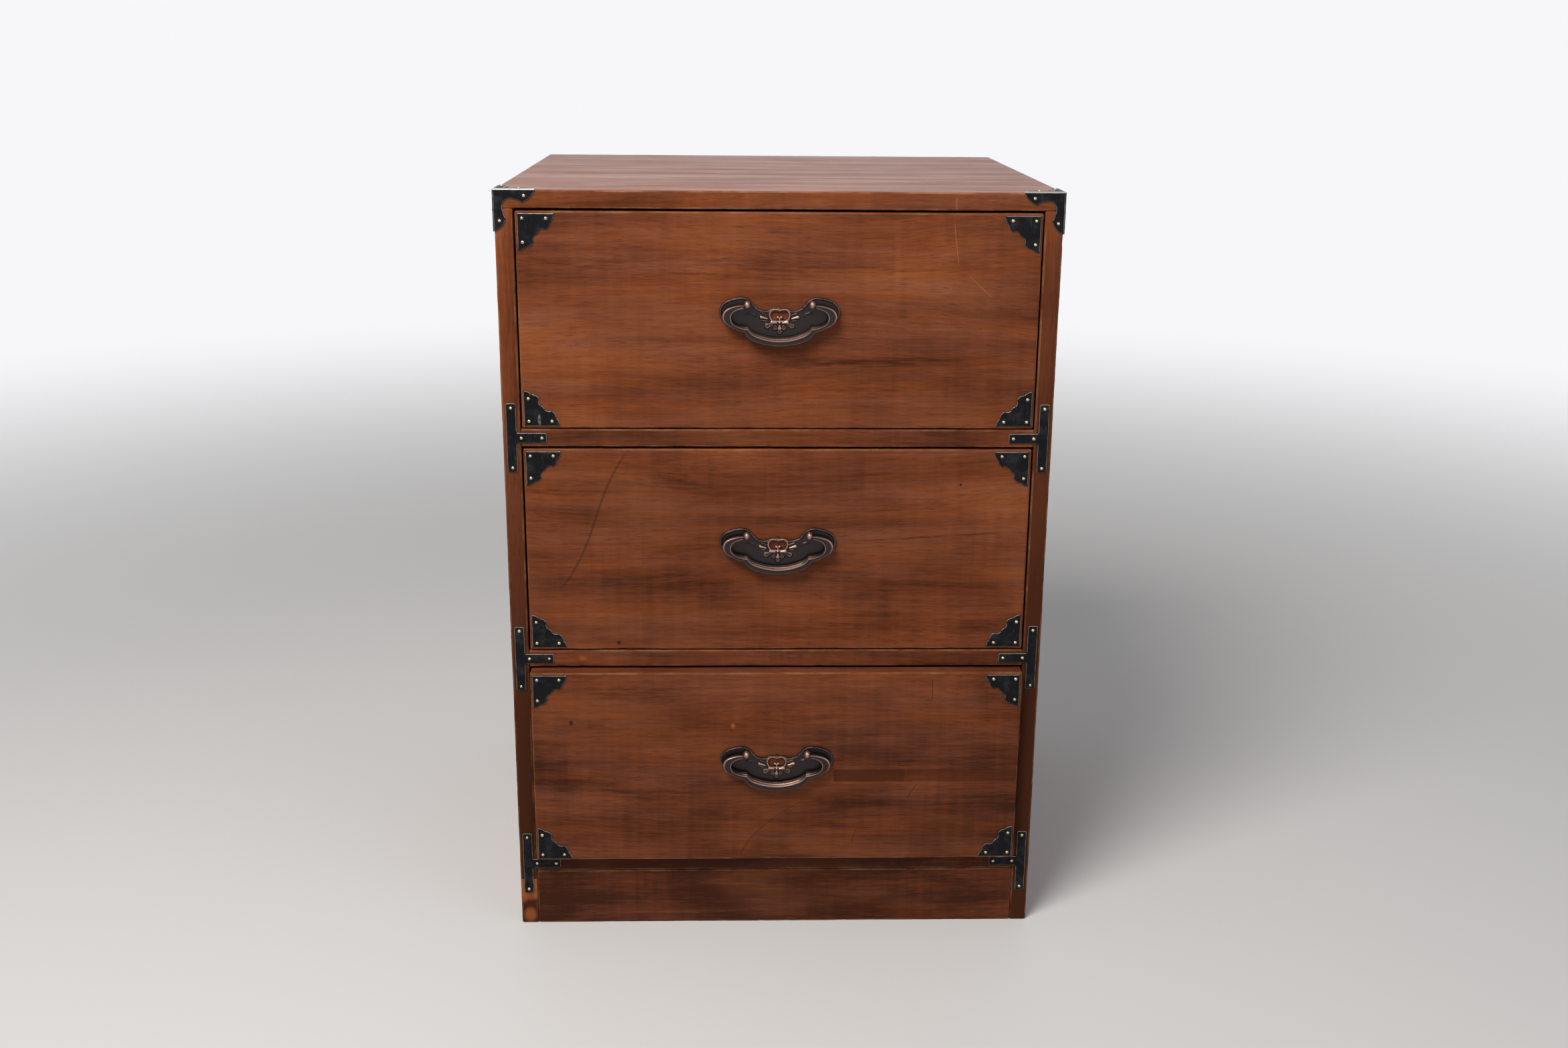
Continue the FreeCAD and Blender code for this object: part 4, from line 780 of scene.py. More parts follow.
def bail_rail(corners):
    """One edge along the bail's right half, from the middle of its grip to the end of its arm."""
    base = corners[0]
    half = 0.5 + 0.5 * np.arange(BAIL_STEPS[0]) / BAIL_STEPS[0]
    runs = [arc(base * (-1, 1), base, BAIL_SAG / base[0], half)]
    for first, second, bow, count in zip(corners, corners[1:], BAIL_BOWS, BAIL_STEPS[1:]):
        runs.append(arc(first, second, bow, np.arange(count) / count))
    return np.concatenate(runs + [corners[-1:]])


def bail_surface():
    """The bail: a bevelled section, blended between four edges, carried from one arm to the other."""
    rails = np.stack([bail_rail(corners) for corners in BAIL_RAILS])
    shares, height, rub, up_highlight = (np.array(part, dtype=float) for part in zip(*BAIL_SECTION))
    right = np.einsum("kr,rsc->skc", shares, rails)
    flat = np.concatenate([right[:0:-1] * (-1, 1), right])
    grid = np.concatenate([flat, np.broadcast_to(height[:, None], flat.shape[:2] + (1,))], axis=-1)
    inside = rails[2] - rails[0]
    upwards = inside[:, 1] / np.linalg.norm(inside, axis=1)
    upwards = np.concatenate([upwards[:0:-1], upwards])
    # The rub is raised where the section faces up: a painted highlight of light from above
    return grid, rub + np.clip(upwards[:, None] * up_highlight + ASIDE_HIGHLIGHT * np.abs(up_highlight), 0, np.abs(up_highlight))


def bail_pin(sign):
    """The pin at the end of an arm: a circle carried along the bail's axis."""
    turn = full_turn(PIN_SIDES)
    ends = np.array(PIN_SPAN)[:, None] * sign
    up = PIN_RADIUS * np.cos(turn) - BAIL_AXIS_DROP
    height = PIN_RADIUS * np.sin(turn) + BAIL_AXIS_HEIGHT
    return np.stack(np.broadcast_arrays(ends, up, height), axis=-1)


# A post: half widths of its bead across, up and out, the arc and the rings of the bead, then its stem
BEAD = (2.9, 3.7, 4.5)
BEAD_ARC = (-36, 88)
BEAD_RINGS = 22
POST_SIDES = 36
POST_NECK = 2.4
NECK_RINGS = 5
NECK_SHARE = 0.62
POST_SHANK = 1.6
POST_TAIL = -23.0
TAIL_BEVEL = (0.4, 0.5)
POST_SHOULDER = 1.6
SHOULDER_STEP = 0.01
# Heights along a post, and its rub at each
POST_RUB = ((1.6, 3.5, 6.0, 9.5), (0.1, 0.2, 0.75, 1.0))


def post_surface(sign):
    """A post turned about its length: tail, neck and an egg-shaped bead, wider up than across."""
    tail = np.array([POST_TAIL, POST_TAIL + TAIL_BEVEL[1], POST_SHOULDER - SHOULDER_STEP])
    neck = np.linspace(POST_SHOULDER, BAIL_AXIS_HEIGHT - BEAD[2] * NECK_SHARE, NECK_RINGS)
    bead = BAIL_AXIS_HEIGHT + BEAD[2] * np.sin(np.radians(np.linspace(*BEAD_ARC, BEAD_RINGS)))
    height = np.concatenate([tail, neck, bead])
    swelling = np.sqrt(np.clip(1 - ((height - BAIL_AXIS_HEIGHT) / BEAD[2]) ** 2, 0, None))
    stem = np.where(height < POST_SHOULDER, POST_SHANK, np.where(height < BAIL_AXIS_HEIGHT, POST_NECK, 0))
    stem[0] = POST_SHANK - TAIL_BEVEL[0]
    turn = full_turn(POST_SIDES)
    across = POST_ACROSS * sign + np.maximum(BEAD[0] * swelling, stem)[:, None] * np.cos(turn)
    up = np.maximum(BEAD[1] * swelling, stem)[:, None] * np.sin(turn)
    rub = np.interp(height, *POST_RUB)
    return np.stack(np.broadcast_arrays(across, up, height[:, None]), axis=-1), rub[:, None]


# Shader maths

class Value:
    """A number that varies over a surface, with ordinary arithmetic."""

    def __init__(self, nodes, socket):
        self.nodes = nodes
        self.socket = socket

    def math(self, operation, *others):
        """A Math node of this value and others."""
        return self.nodes.node("ShaderNodeMath", {"operation": operation}, dict(enumerate((self, *others))))

    def __add__(self, other):
        return self.math("ADD", other)

    __radd__ = __add__

    def __mul__(self, other):
        return self.math("MULTIPLY", other)

    __rmul__ = __mul__

    def __sub__(self, other):
        return self.math("SUBTRACT", other)

    def __rsub__(self, other):
        return self.nodes.node("ShaderNodeMath", {"operation": "SUBTRACT"}, {0: other, 1: self})

    def __truediv__(self, other):
        return self.math("DIVIDE", other)

    def __abs__(self):
        return self.math("ABSOLUTE")

    def larger(self, other):
        return self.math("MAXIMUM", other)

    def between(self, low, high):
        """0 below low, 1 above high and a smooth step between them."""
        sockets = {"Value": self, "From Min": low, "From Max": high}
        return self.nodes.node("ShaderNodeMapRange", {"interpolation_type": "SMOOTHSTEP"}, sockets)

    def other(self, name):
        """Another output of the same node."""
        return Value(self.nodes, self.socket.node.outputs[name])


class Nodes:
    """A node tree under construction."""

    def __init__(self, tree):
        self.tree = tree

    def node(self, kind, settings=None, sockets=None, out=0):
        """Add a node: its settings first, then the values or links of its sockets."""
        made = self.tree.nodes.new(kind)
        for name, setting in (settings or {}).items():
            if name == "stops":
                while len(made.color_ramp.elements) < len(setting):
                    made.color_ramp.elements.new(1.0)
                for element, (position, shade) in zip(made.color_ramp.elements, setting):
                    element.position = position
                    element.color = shade
            else:
                setattr(made, name, setting)
        for key, value in (sockets or {}).items():
            self.join(value, made.inputs[key])
        return Value(self, made.outputs[out])

    def join(self, value, socket):
        """Link a varying value to a socket, or set the socket to a plain one."""
        if isinstance(value, Value):
            self.tree.links.new(value.socket, socket)
        else:
            socket.default_value = value

    def vector(self, operation, first, second):
        """A Vector Math node of two vectors."""
        return self.node("ShaderNodeVectorMath", {"operation": operation}, {0: first, 1: second})

    def parts(self, vector):
        """The three components of a vector."""
        first = self.node("ShaderNodeSeparateXYZ", {}, {0: vector})
        return first, first.other("Y"), first.other("Z")

    def joined(self, *parts):
        """A vector of up to three components."""
        return self.node("ShaderNodeCombineXYZ", {}, dict(enumerate(parts)))

    def noise(self, at, scale, detail=2.0, roughness=0.5):
        """Noise whose scale, all round or along each axis, is in features for each metre."""
        stretched = self.vector("MULTIPLY", at, np.broadcast_to(scale, 3).tolist())
        sockets = {"Vector": stretched, "Scale": 1.0, "Detail": detail, "Roughness": roughness}
        return self.node("ShaderNodeTexNoise", {}, sockets)

    def swing(self, at, scale, detail=2.0, roughness=0.5):
        """Noise about 0."""
        return self.noise(at, scale, detail, roughness) - 0.5

    def mix(self, share, first, second, blend="MIX"):
        """Blend two colours."""
        settings = {"data_type": "RGBA", "blend_type": blend}
        return self.node("ShaderNodeMix", settings, {0: share, 6: first, 7: second}, out=2)

    def place(self):
        """Object coordinates."""
        return self.node("ShaderNodeTexCoord", out="Object")

    def facing_up(self):
        """How far the surface faces up, from -1 to 1."""
        return self.parts(self.node("ShaderNodeNewGeometry", out="Normal"))[2]

    def rub(self):
        """The weight of handling that each piece carries."""
        return self.node("ShaderNodeAttribute", {"attribute_name": "rub"}, out="Fac")


class Finish(Nodes):
    """One material."""

    def __init__(self, name):
        self.material = bpy.data.materials.new(name)
        self.material.use_nodes = True
        super().__init__(self.material.node_tree)
        self.shader = self.tree.nodes["Principled BSDF"]

    def paint(self, **sockets):
        """Set or link the shader's own sockets, named with _ for a space."""
        for name, value in sockets.items():
            self.join(value, self.shader.inputs[name.replace("_", " ").title().replace("Ior", "IOR")])
        return self.material

    def bump(self, height, strength, distance):
        """A normal bent by a height, times a distance in metres."""
        sockets = {"Height": height, "Strength": strength, "Distance": distance}
        return self.node("ShaderNodeBump", {}, sockets)


def tint(prop):
    """A colour with full alpha."""
    return (*prop, 1.0)


# Marks on the boards, of age and of darkening towards the bottom, whose numbers are in millimetres across
# and up on the front

BLOCK_EDGE = 0.4 * MM
SCRATCH_FADE = (0.85, 1.0)


def streak(across, up, spot, size, tilt=0.0):
    """A soft patch of dark grain: 1 in the middle of a tilted ellipse and 0 outside it."""
    aside = (across - spot[0] * MM) / (size[0] * MM)
    rise = (up - spot[1] * MM - (across - spot[0] * MM) * tilt) / (size[1] * MM)
    return 1 - (aside * aside + rise * rise).between(0.0, 1.0)


def within(place, first, last):
    """1 between two lines with hard edges."""
    return place.between(first, first + BLOCK_EDGE) * (1 - place.between(last - BLOCK_EDGE, last))


def block(across, up, low, high):
    """A stave of another tone: 1 inside a rectangle."""
    return within(across, low[0] * MM, high[0] * MM) * within(up, low[1] * MM, high[1] * MM)


def darker_downwards(across, up, level, reach):
    """Dirt that thins out upwards, alike all across: 1 up to a level, 0 at its reach above that."""
    return 1 - up.between(level * MM, (level + reach) * MM)


def scratch(across, up, level, reach, curve, width):
    """A scratch across the grain: near the cubic that gives its place across at each level."""
    share = (up - level * MM) / (reach * MM)
    place = share * (curve[3] * MM) + curve[2] * MM
    place = (place * share + curve[1] * MM) * share + curve[0] * MM
    near = 1 - abs(across - place).between(0.0, width * MM)
    return near * (1 - abs(share).between(*SCRATCH_FADE))


# What the boards have: depth of stain, lowered on the lower boards as painted shade that deepens towards
# the floor, wear, faded (a painted sheen on the upper face, with its wax coat) and marks. Each mark has its
# kind, its numbers, its strength, and the stain that it shows
LOOKS = {
    "top_board": {
        "depth": 0.46, "wear": 0.6, "faded": 0.55,
        "marks": ((scratch, (703.5, 5.5, (154.7, 0, 0, 0), 0.5), 0.6, "worn"),),
    },
    "upper_front_board": {"marks": (
        (streak, ((17, 648.3), (120, 6.5), -0.026), 0.5, "dark"),
        (streak, ((-30, 638.5), (100, 1.9), -0.05), 0.7, "dark"),
        (streak, ((88, 562.5), (78, 5.5), 0.04), 0.85, "dark"),
        (streak, ((90, 563.5), (150, 9), 0.045), 0.4, "dark"),
        (streak, ((-170, 650), (75, 9), -0.01), 0.35, "dark"),
        (streak, ((-141.7, 655), (9, 3)), 0.6, "dark"),
        (scratch, (668, 19, (156, -2.5, 0, 0), 0.5), 0.5, "worn"),
        (scratch, (630.6, 9.7, (179, -10.9, 0, 0), 0.5), 0.55, "worn"),
    )},
    "middle_front_board": {"depth": 0.44, "marks": (
        (scratch, (413, 68, (-169, 23, -1.3, 10.7), 2.0), 0.52, "pore"),
        (streak, ((-184, 441), (60, 3.5)), 0.6, "dark"),
        (streak, ((-78, 446), (46, 8), -0.2), 0.55, "dark"),
        (streak, ((140, 398.5), (92, 1.3), 0.06), 0.7, "dark"),
        (streak, ((188, 311), (40, 7)), 0.7, "dark"),
        (streak, ((-148.8, 294.7), (3, 2.5)), 0.9, "pore"),
        (streak, ((168, 448.5), (1.8, 1.6)), 0.9, "pore"),
    )},
    # The lower front's low depth is partly painted shade, darker towards the floor
    "lower_front_board": {"depth": 0.31, "marks": (
        (block, ((54.9, 156.2), (123.7, 169.3)), 0.75, "dark"),
        (block, ((123.7, 156.2), (233, 169.3)), 0.5, "dark"),
        (scratch, (108.5, 31, (-14, 32.9, 11.9, 0), 0.7), 0.8, "pore"),
        (scratch, (146.8, 8, (131, 4.7, 0, 0), 0.7), 0.8, "pore"),
        (scratch, (99, 7.5, (75.5, 1.9, 0, 0), 0.7), 0.7, "pore"),
        (scratch, (251.7, 10.4, (147.2, -0.4, 0, 0), 0.9), 0.6, "pore"),
        (streak, ((-136, 248), (66, 9)), 0.6, "dark"),
        (streak, ((-172, 153), (58, 7), -0.15), 0.6, "dark"),
        (streak, ((13, 76.5), (66, 4)), 0.7, "dark"),
        (streak, ((-194.8, 218.1), (2.6, 4)), 0.9, "pore"),
        (streak, ((-41.6, 214.7), (2.6, 3.4)), 1.0, "light"),
    )},
    # The depths of the rails and the plinth fall downwards as painted shade towards the floor
    "upper_rail_board": {"depth": 0.38},
    "lower_rail_board": {"depth": 0.36, "marks": ((streak, ((-183, 279), (5, 3)), 0.7, "light"),)},
    # The bottom rail's very low depth paints the shadow cast by the proud lower drawer above it
    "bottom_rail_board": {"depth": 0.1},
    "plinth": {"depth": 0.21},
    "left_side_board": {"depth": 0.47, "marks": (
        (darker_downwards, (180, 500), 0.95, "dark"),
        (block, ((-250.5, 37), (-233, 48)), 0.85, "light"),
        (streak, ((-247.5, 33), (6, 14)), 0.85, "light"),
        (streak, ((-235.5, 34), (4.5, 11)), 0.8, "light"),
        (streak, ((-241, 30), (10, 7)), 0.6, "light"),
        (streak, ((-241.5, 9), (8, 10)), 0.8, "light"),
    )},
    "right_side_board": {"depth": 0.44, "marks": ((darker_downwards, (260, 640), 0.95, "dark"),)},
}
# How far along each axis a board's grain may lie from the next one's, in metres
GRAIN_SHIFTS = (3, 60)
# Staves glued edge to edge, as bricks without mortar whose tones run from 0 to 1
STAVES = {
    "Scale": 1.0, "Mortar Size": 0.0, "Brick Width": 0.31, "Row Height": 0.047,
    "Color1": (0, 0, 0, 1), "Color2": (1, 1, 1, 1),
}
STAVE_OFFSET = 0.37
# Tones at which each stain is pure
STAIN_STOPS = ((0.12, "dark"), (0.5, "middle"), (0.85, "light"))
# What the duller patches of the stain keep of its red, green and blue
DULLED = (0.94, 1.06, 1.5, 1.0)
# Where behind the front the marks begin to fade and end, and how much of a dark streak the grain breaks up
MARK_FADE = (6 * MM, 30 * MM)
STREAK_BREAK = 0.75


def grain_space(nodes, grain, seed):
    """Object coordinates along, across and through the grain, moved to the board's own part of it."""
    parts = nodes.parts(nodes.place())
    ordered = nodes.joined(*(parts[(AXES[grain] + step) % 3] for step in range(3)))
    random = np.random.default_rng(seed)
    return nodes.vector("ADD", ordered, tuple(random.uniform(*GRAIN_SHIFTS, 3)))


def wandering(nodes, space, scale, reach):
    """Grain that wanders aside, by half of reach at the most."""
    wander = nodes.swing(space, scale) * reach
    return nodes.vector("ADD", space, nodes.joined(0.0, wander, wander))


def glued_staves(nodes, space):
    """The tone of each stave, about 0."""
    along, across, through = nodes.parts(space)
    bricks = {"Vector": nodes.joined(along, across + through), **STAVES}
    return nodes.node("ShaderNodeTexBrick", {"offset": STAVE_OFFSET}, bricks) - 0.5


def marked(finish, stain, marks, broken):
    """The stain with the board's marks of age, on its front alone."""
    wood = bpy.context.scene.chest_wood
    across, back, up = finish.parts(finish.place())
    ahead = 1 - back.between(FRONT_Y + MARK_FADE[0], FRONT_Y + MARK_FADE[1])
    for kind, numbers, strength, shown in marks:
        mark = kind(across, up, *numbers) * ahead * strength
        if shown == "dark" and kind is streak:
            mark = mark * (1 - broken * STREAK_BREAK)
        stain = finish.mix(mark, stain, tint(getattr(wood, shown)))
    return stain


def stained_wood(name, grain, seed, depth=0.5, wear=0.35, faded=0.0, marks=()):
    """Satin red-brown stain over streaky, edge-glued wood, worn at its edges.

    Depth is the mean tone, wear is how bare the worn edges are, and faded is how pale and waxed the upper
    face is.
    """
    wood = bpy.context.scene.chest_wood
    finish = Finish(name)
    space = grain_space(finish, grain, seed)
    bent = wandering(finish, space, (1.6, 7, 7), reach=0.045)
    figure = finish.swing(bent, (2.6, 34, 34), detail=4, roughness=0.6)
    streaks = finish.swing(bent, (13, 330, 330), detail=4, roughness=0.65)
    fibre = finish.swing(bent, (70, 1250, 1250))
    clouds = finish.swing(space, (8, 17, 17))
    ripple = finish.swing(bent, (140, 11, 11), detail=1)
    pores = finish.noise(bent, (75, 1300, 1300), detail=1).between(0.62, 0.74)
    dashes = finish.noise(bent, (48, 900, 900)).between(0.55, 0.72)
    glow = finish.noise(space, (6, 15, 15), detail=3).between(0.48, 0.72)
    dull = finish.noise(bent, (7, 60, 60), detail=4, roughness=0.65).between(0.36, 0.66)
    tone = depth + figure * 0.8 + streaks * 0.48 + fibre * 0.34 + clouds * 0.65 + ripple * 0.15
    tone = tone + glued_staves(finish, space) * 0.08
    stops = [(place, tint(getattr(wood, shown))) for place, shown in STAIN_STOPS]
    stain = finish.node("ShaderNodeValToRGB", {"stops": stops}, {0: tone})
    for share, shown in ((glow * 0.3, wood.light), (dashes * 0.31, wood.dark), (pores * 0.4, wood.pore)):
        stain = finish.mix(share, stain, tint(shown))
    stain = finish.mix(dull, stain, DULLED, "MULTIPLY")
    if marks:
        stain = marked(finish, stain, marks, (streaks + fibre * 0.6).between(-0.16, 0.12))
    patches = finish.noise(space, 38, detail=4, roughness=0.62)
    worn = (finish.rub() - patches * 1.15).between(0.22, 0.7)
    stain = finish.mix(worn * wear, stain, tint(wood.worn))
    if faded:
        # Upward faces are mixed towards the light stain: a painted sheen, the reflection of the pale
        # surroundings
        upper = finish.facing_up().between(0.6, 0.9)
        wax = (figure * 1.6 + streaks * 2.4 + clouds * 0.6 + 0.64).between(0.0, 1.6) * 1.6
        stain = finish.mix(upper * (faded * 0.55), stain, tint(wood.light))
        finish.paint(coat_weight=upper * wax * faded, coat_roughness=0.3)
    height = fibre * 0.5 + streaks * 0.5 - pores * 0.55
    return finish.paint(
        base_color=stain,
        roughness=0.42 + streaks * 0.25 + pores * 0.15 + clouds * 0.12,
        specular_ior_level=0.05,
        normal=finish.bump(height, strength=0.3, distance=0.35 * MM),
    )


def bare_wood(name, grain, seed):
    """Pale unstained wood with soft grain and a little dust in its pores."""
    wood = bpy.context.scene.chest_wood
    finish = Finish(name)
    space = grain_space(finish, grain, seed)
    bent = wandering(finish, space, (2, 8, 8), reach=0.02)
    figure = finish.swing(bent, (3, 60, 60), detail=4, roughness=0.6)
    fibre = finish.swing(bent, (50, 1100, 1100))
    pores = finish.noise(bent, (70, 1300, 1300), detail=1).between(0.63, 0.75)
    tone = 0.5 + figure * 1.6 + fibre * 0.5
    grain_colour = finish.mix(tone, tint(wood.bare_dark), tint(wood.bare))
    return finish.paint(
        base_color=finish.mix(pores * 0.5, grain_colour, tint(wood.bare_dark)),
        roughness=0.62 + fibre * 0.2,
        normal=finish.bump(fibre - pores * 0.6, strength=0.3, distance=0.3 * MM),
    )


# A scuff on the upper drawer's lower left corner plate, in millimetres from that plate's corner
SCUFF_FROM_CORNER = (13.5, 5.0)
SCUFF_SIZE = (1.7, 6.5)


@cache
def black_iron():
    """Blackened sheet iron: mottled, finely scratched and bright along its edges."""
    iron = bpy.context.scene.chest_iron
    finish = Finish("black_iron")
    at = finish.place()
    mottle = finish.noise(at, 90, detail=5, roughness=0.65)
    hammer = finish.noise(at, 260, detail=1)
    scores = finish.noise(at, (1500, 700, 110), detail=1).between(0.7, 0.78)
    patches = finish.noise(at, 160, detail=4, roughness=0.6)
    # Worn edges show brighter where they face up: a painted highlight of light from above
    upwards = finish.facing_up().between(-0.3, 0.5) * 0.82 + 0.18
    bright = (finish.rub() * 1.3 - patches).between(0.38, 0.7) * upwards
    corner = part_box("upper_corner_plates")[0]
    spot = (corner.x / MM + SCUFF_FROM_CORNER[0], corner.z / MM + SCUFF_FROM_CORNER[1])
    places = finish.parts(at)
    scuff = streak(places[0], places[2], spot, SCUFF_SIZE) * patches.between(0.35, 0.6)
    skin = finish.mix(mottle.between(0.45, 0.75), tint(iron.black), tint(iron.grey))
    for share in (scores * 0.07, scuff * 0.5, bright):
        skin = finish.mix(share, skin, tint(iron.bright))
    return finish.paint(
        base_color=skin,
        metallic=bright,
        roughness=0.45 + (mottle - 0.5) * 0.35 - bright * 0.1,
        specular_ior_level=0.1,
        normal=finish.bump(hammer * 0.7 + mottle * 0.3, strength=0.22, distance=0.5 * MM),
    )


@cache
def nail_brass():
    """Pale brass, tarnished round the rim of each head."""
    iron = bpy.context.scene.chest_iron
    finish = Finish("nail_brass")
    spots = finish.noise(finish.place(), 700, detail=3)
    clean = (finish.rub() + spots * 0.7).between(0.35, 0.95)
    return finish.paint(
        base_color=finish.mix(clean, tint(iron.tarnish), tint(iron.brass)),
        metallic=1.0,
        roughness=0.46 - clean * 0.14,
    )


@cache
def cast_bronze():
    """Dark antique bronze, rubbed back to copper on ridges and beads."""
    pull = bpy.context.scene.chest_pull
    finish = Finish("cast_bronze")
    at = finish.place()
    grain = finish.noise(at, 900, detail=3)
    patches = finish.noise(at, 260, detail=4, roughness=0.6)
    # The rub is wear, and on the bail's upward faces a painted highlight too
    rubbed = (finish.rub() * 1.25 - patches * 0.5).between(0.05, 0.8)
    return finish.paint(
        base_color=finish.mix(rubbed, tint(pull.bronze), tint(pull.copper)),
        metallic=0.9,
        roughness=0.38 + (grain - 0.5) * 0.25,
        normal=finish.bump(grain, strength=0.14, distance=0.25 * MM),
    )


@cache
def bright_steel():
    """Zinc-grey steel of screws and nuts."""
    iron = bpy.context.scene.chest_iron
    finish = Finish("bright_steel")
    spots = finish.noise(finish.place(), 500, detail=3)
    return finish.paint(
        base_color=finish.mix(spots.between(0.35, 0.7), tint(iron.steel), tint(iron.grey)),
        metallic=1.0,
        roughness=0.35 + spots * 0.15,
    )


# Operators

class ChestCaseBoards(bpy.types.Operator):
    """Replace the case's outer boards with eased and worn ones"""

    bl_idname = "chest.case_boards"
    bl_label = "Case boards"

    def execute(self, context):
        reveal = context.scene.chest_wood.reveal
        boards = [("top_board", "top_panel", "X", reveal), ("plinth", "plinth_board", "X", 0.0)]
        boards += [(f"{side}_side_board", f"{side}_side", "Z", reveal) for side in SIDES]
        boards += [(f"{rail}_rail_board", f"{rail}_rail", "X", 0.0) for rail in RAILS]
        for seed, (name, node, grain, rear) in enumerate(boards, start=SEEDS["case_boards"]):
            material = stained_wood(f"stained_{name}", grain, seed, **LOOKS[name])
            board_piece(name, node, grain, material, "case", "stained_wood", seed, rear)
        return {"FINISHED"}


class ChestDrawerFronts(bpy.types.Operator):
    """Replace the drawer fronts with eased ones that carry the photographed marks of age"""

    bl_idname = "chest.drawer_fronts"
    bl_label = "Drawer fronts"

    def execute(self, context):
        for seed, drawer in enumerate(DRAWERS, start=SEEDS["drawer_fronts"]):
            name = f"{drawer}_front_board"
            body = f"{drawer}_drawer"
            material = stained_wood(f"stained_{name}", "X", seed, **LOOKS[name])
            board_piece(name, f"{body}_front", "X", material, body, "stained_wood", seed)
        return {"FINISHED"}


# The grain of the boards inside the chest, by the ends of their nodes' names
INNER_GRAIN = {
    "_wall": "Y", "_runner": "Y", "drawer_back": "X", "drawer_floor": "X", "drawer_stops": "X",
    "back_panel": "Z", "case_dowels": "X",
}
WELD_DISTANCE = 1e-6
FLAT_DEGREES = 1
SOFT_WIDTH = 0.5 * MM
SOFT_SEGMENTS = 2
SOFT_DEGREES = 40


def dress(node, material, soften):
    """Give a CAD piece its finish and, on request, softened edges by live modifiers."""
    node.data.materials.clear()
    node.data.materials.append(material)
    if soften:
        weld = node.modifiers.new("Join", "WELD")
        weld.merge_threshold = WELD_DISTANCE
        flat = node.modifiers.new("Flatten", "DECIMATE")
        flat.decimate_type = "DISSOLVE"
        flat.angle_limit = math.radians(FLAT_DEGREES)
        edge = node.modifiers.new("Soften", "BEVEL")
        edge.width = SOFT_WIDTH
        edge.segments = SOFT_SEGMENTS
        edge.limit_method = "ANGLE"
        edge.angle_limit = math.radians(SOFT_DEGREES)


class ChestInnerBoards(bpy.types.Operator):
    """Give the boards inside the chest their grain and softened edges"""

    bl_idname = "chest.inner_boards"
    bl_label = "Inner boards"

    def execute(self, context):
        nodes = frame["nodes"]
        for seed, name in enumerate(sorted(nodes), start=SEEDS["inner_boards"]):
            for ending, grain in INNER_GRAIN.items():
                if name.endswith(ending):
                    material = bare_wood(f"bare_{name}", grain, seed)
                    dress(nodes[name], material, soften=name != "case_dowels")
        for name in ["case_screws"] + [f"{drawer}_handle_nuts" for drawer in DRAWERS]:
            dress(nodes[name], bright_steel(), soften=False)
        return {"FINISHED"}


class ChestIronwork(bpy.types.Operator):
    """Replace the corner plates, tees and corner caps with rolled and worn plates"""

    bl_idname = "chest.ironwork"
    bl_label = "Ironwork"

    def execute(self, context):
        for drawer in DRAWERS:
            node = f"{drawer}_corner_plates"
            low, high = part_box(node)
            local, rub = rolled_plate(corner_plate_outline(), high.y - low.y)
            shell = Shell()
            for seat in corner_seats(low, high):
                shell.tube(placed(local, *seat), rub)
            shell.piece(f"{drawer}_corner_irons", black_iron(), f"{drawer}_drawer", [node], "black_iron")
        for side, sign in SIDES.items():
            for rail in RAILS:
                node = f"{rail}_{side}_tee"
                low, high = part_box(node)
                local, rub = rolled_plate(tee_outline(), high.y - low.y)
                shell = Shell()
                shell.tube(placed(local, *tee_seat(low, high, sign)), rub)
                shell.piece(f"{rail}_{side}_tee_iron", black_iron(), "case", [node], "black_iron")
            self.cap(side, sign)
        return {"FINISHED"}

    def cap(self, side, sign):
        """Three leaves on the front, top and side of a corner, with the bends that join them."""
        node = f"{side}_corner_cap"
        thickness = FRONT_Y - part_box(node)[0].y
        corner, inner, back, down = cap_ways(sign)
        outline = cap_leaf_outline()
        local, rub = rolled_plate(outline, thickness, outline.min(axis=1) > LEG_WIDTH)
        shell = Shell()
        for right, up, out in cap_leaves(inner, back, down):
            # The upper leaf gets more rub: wear, and a painted reflection on its upward face
            shell.tube(placed(local, corner, right, up, out), rub + CAP_HEAD_WEAR_AND_REFLECTION * max(out[2], 0))
        folds = ((inner, -back, -down), (down, -back, -inner), (back, -down, -inner))
        for ways, worn in zip(folds, FOLD_WEAR):
            shell.tube(fold(corner, *ways, thickness, CAP_LEG * MM), worn)
        shell.tube(egg(corner, (thickness,) * 3), 1.0)
        shell.piece(f"{side}_cap_iron", black_iron(), "case", [node], "black_iron")


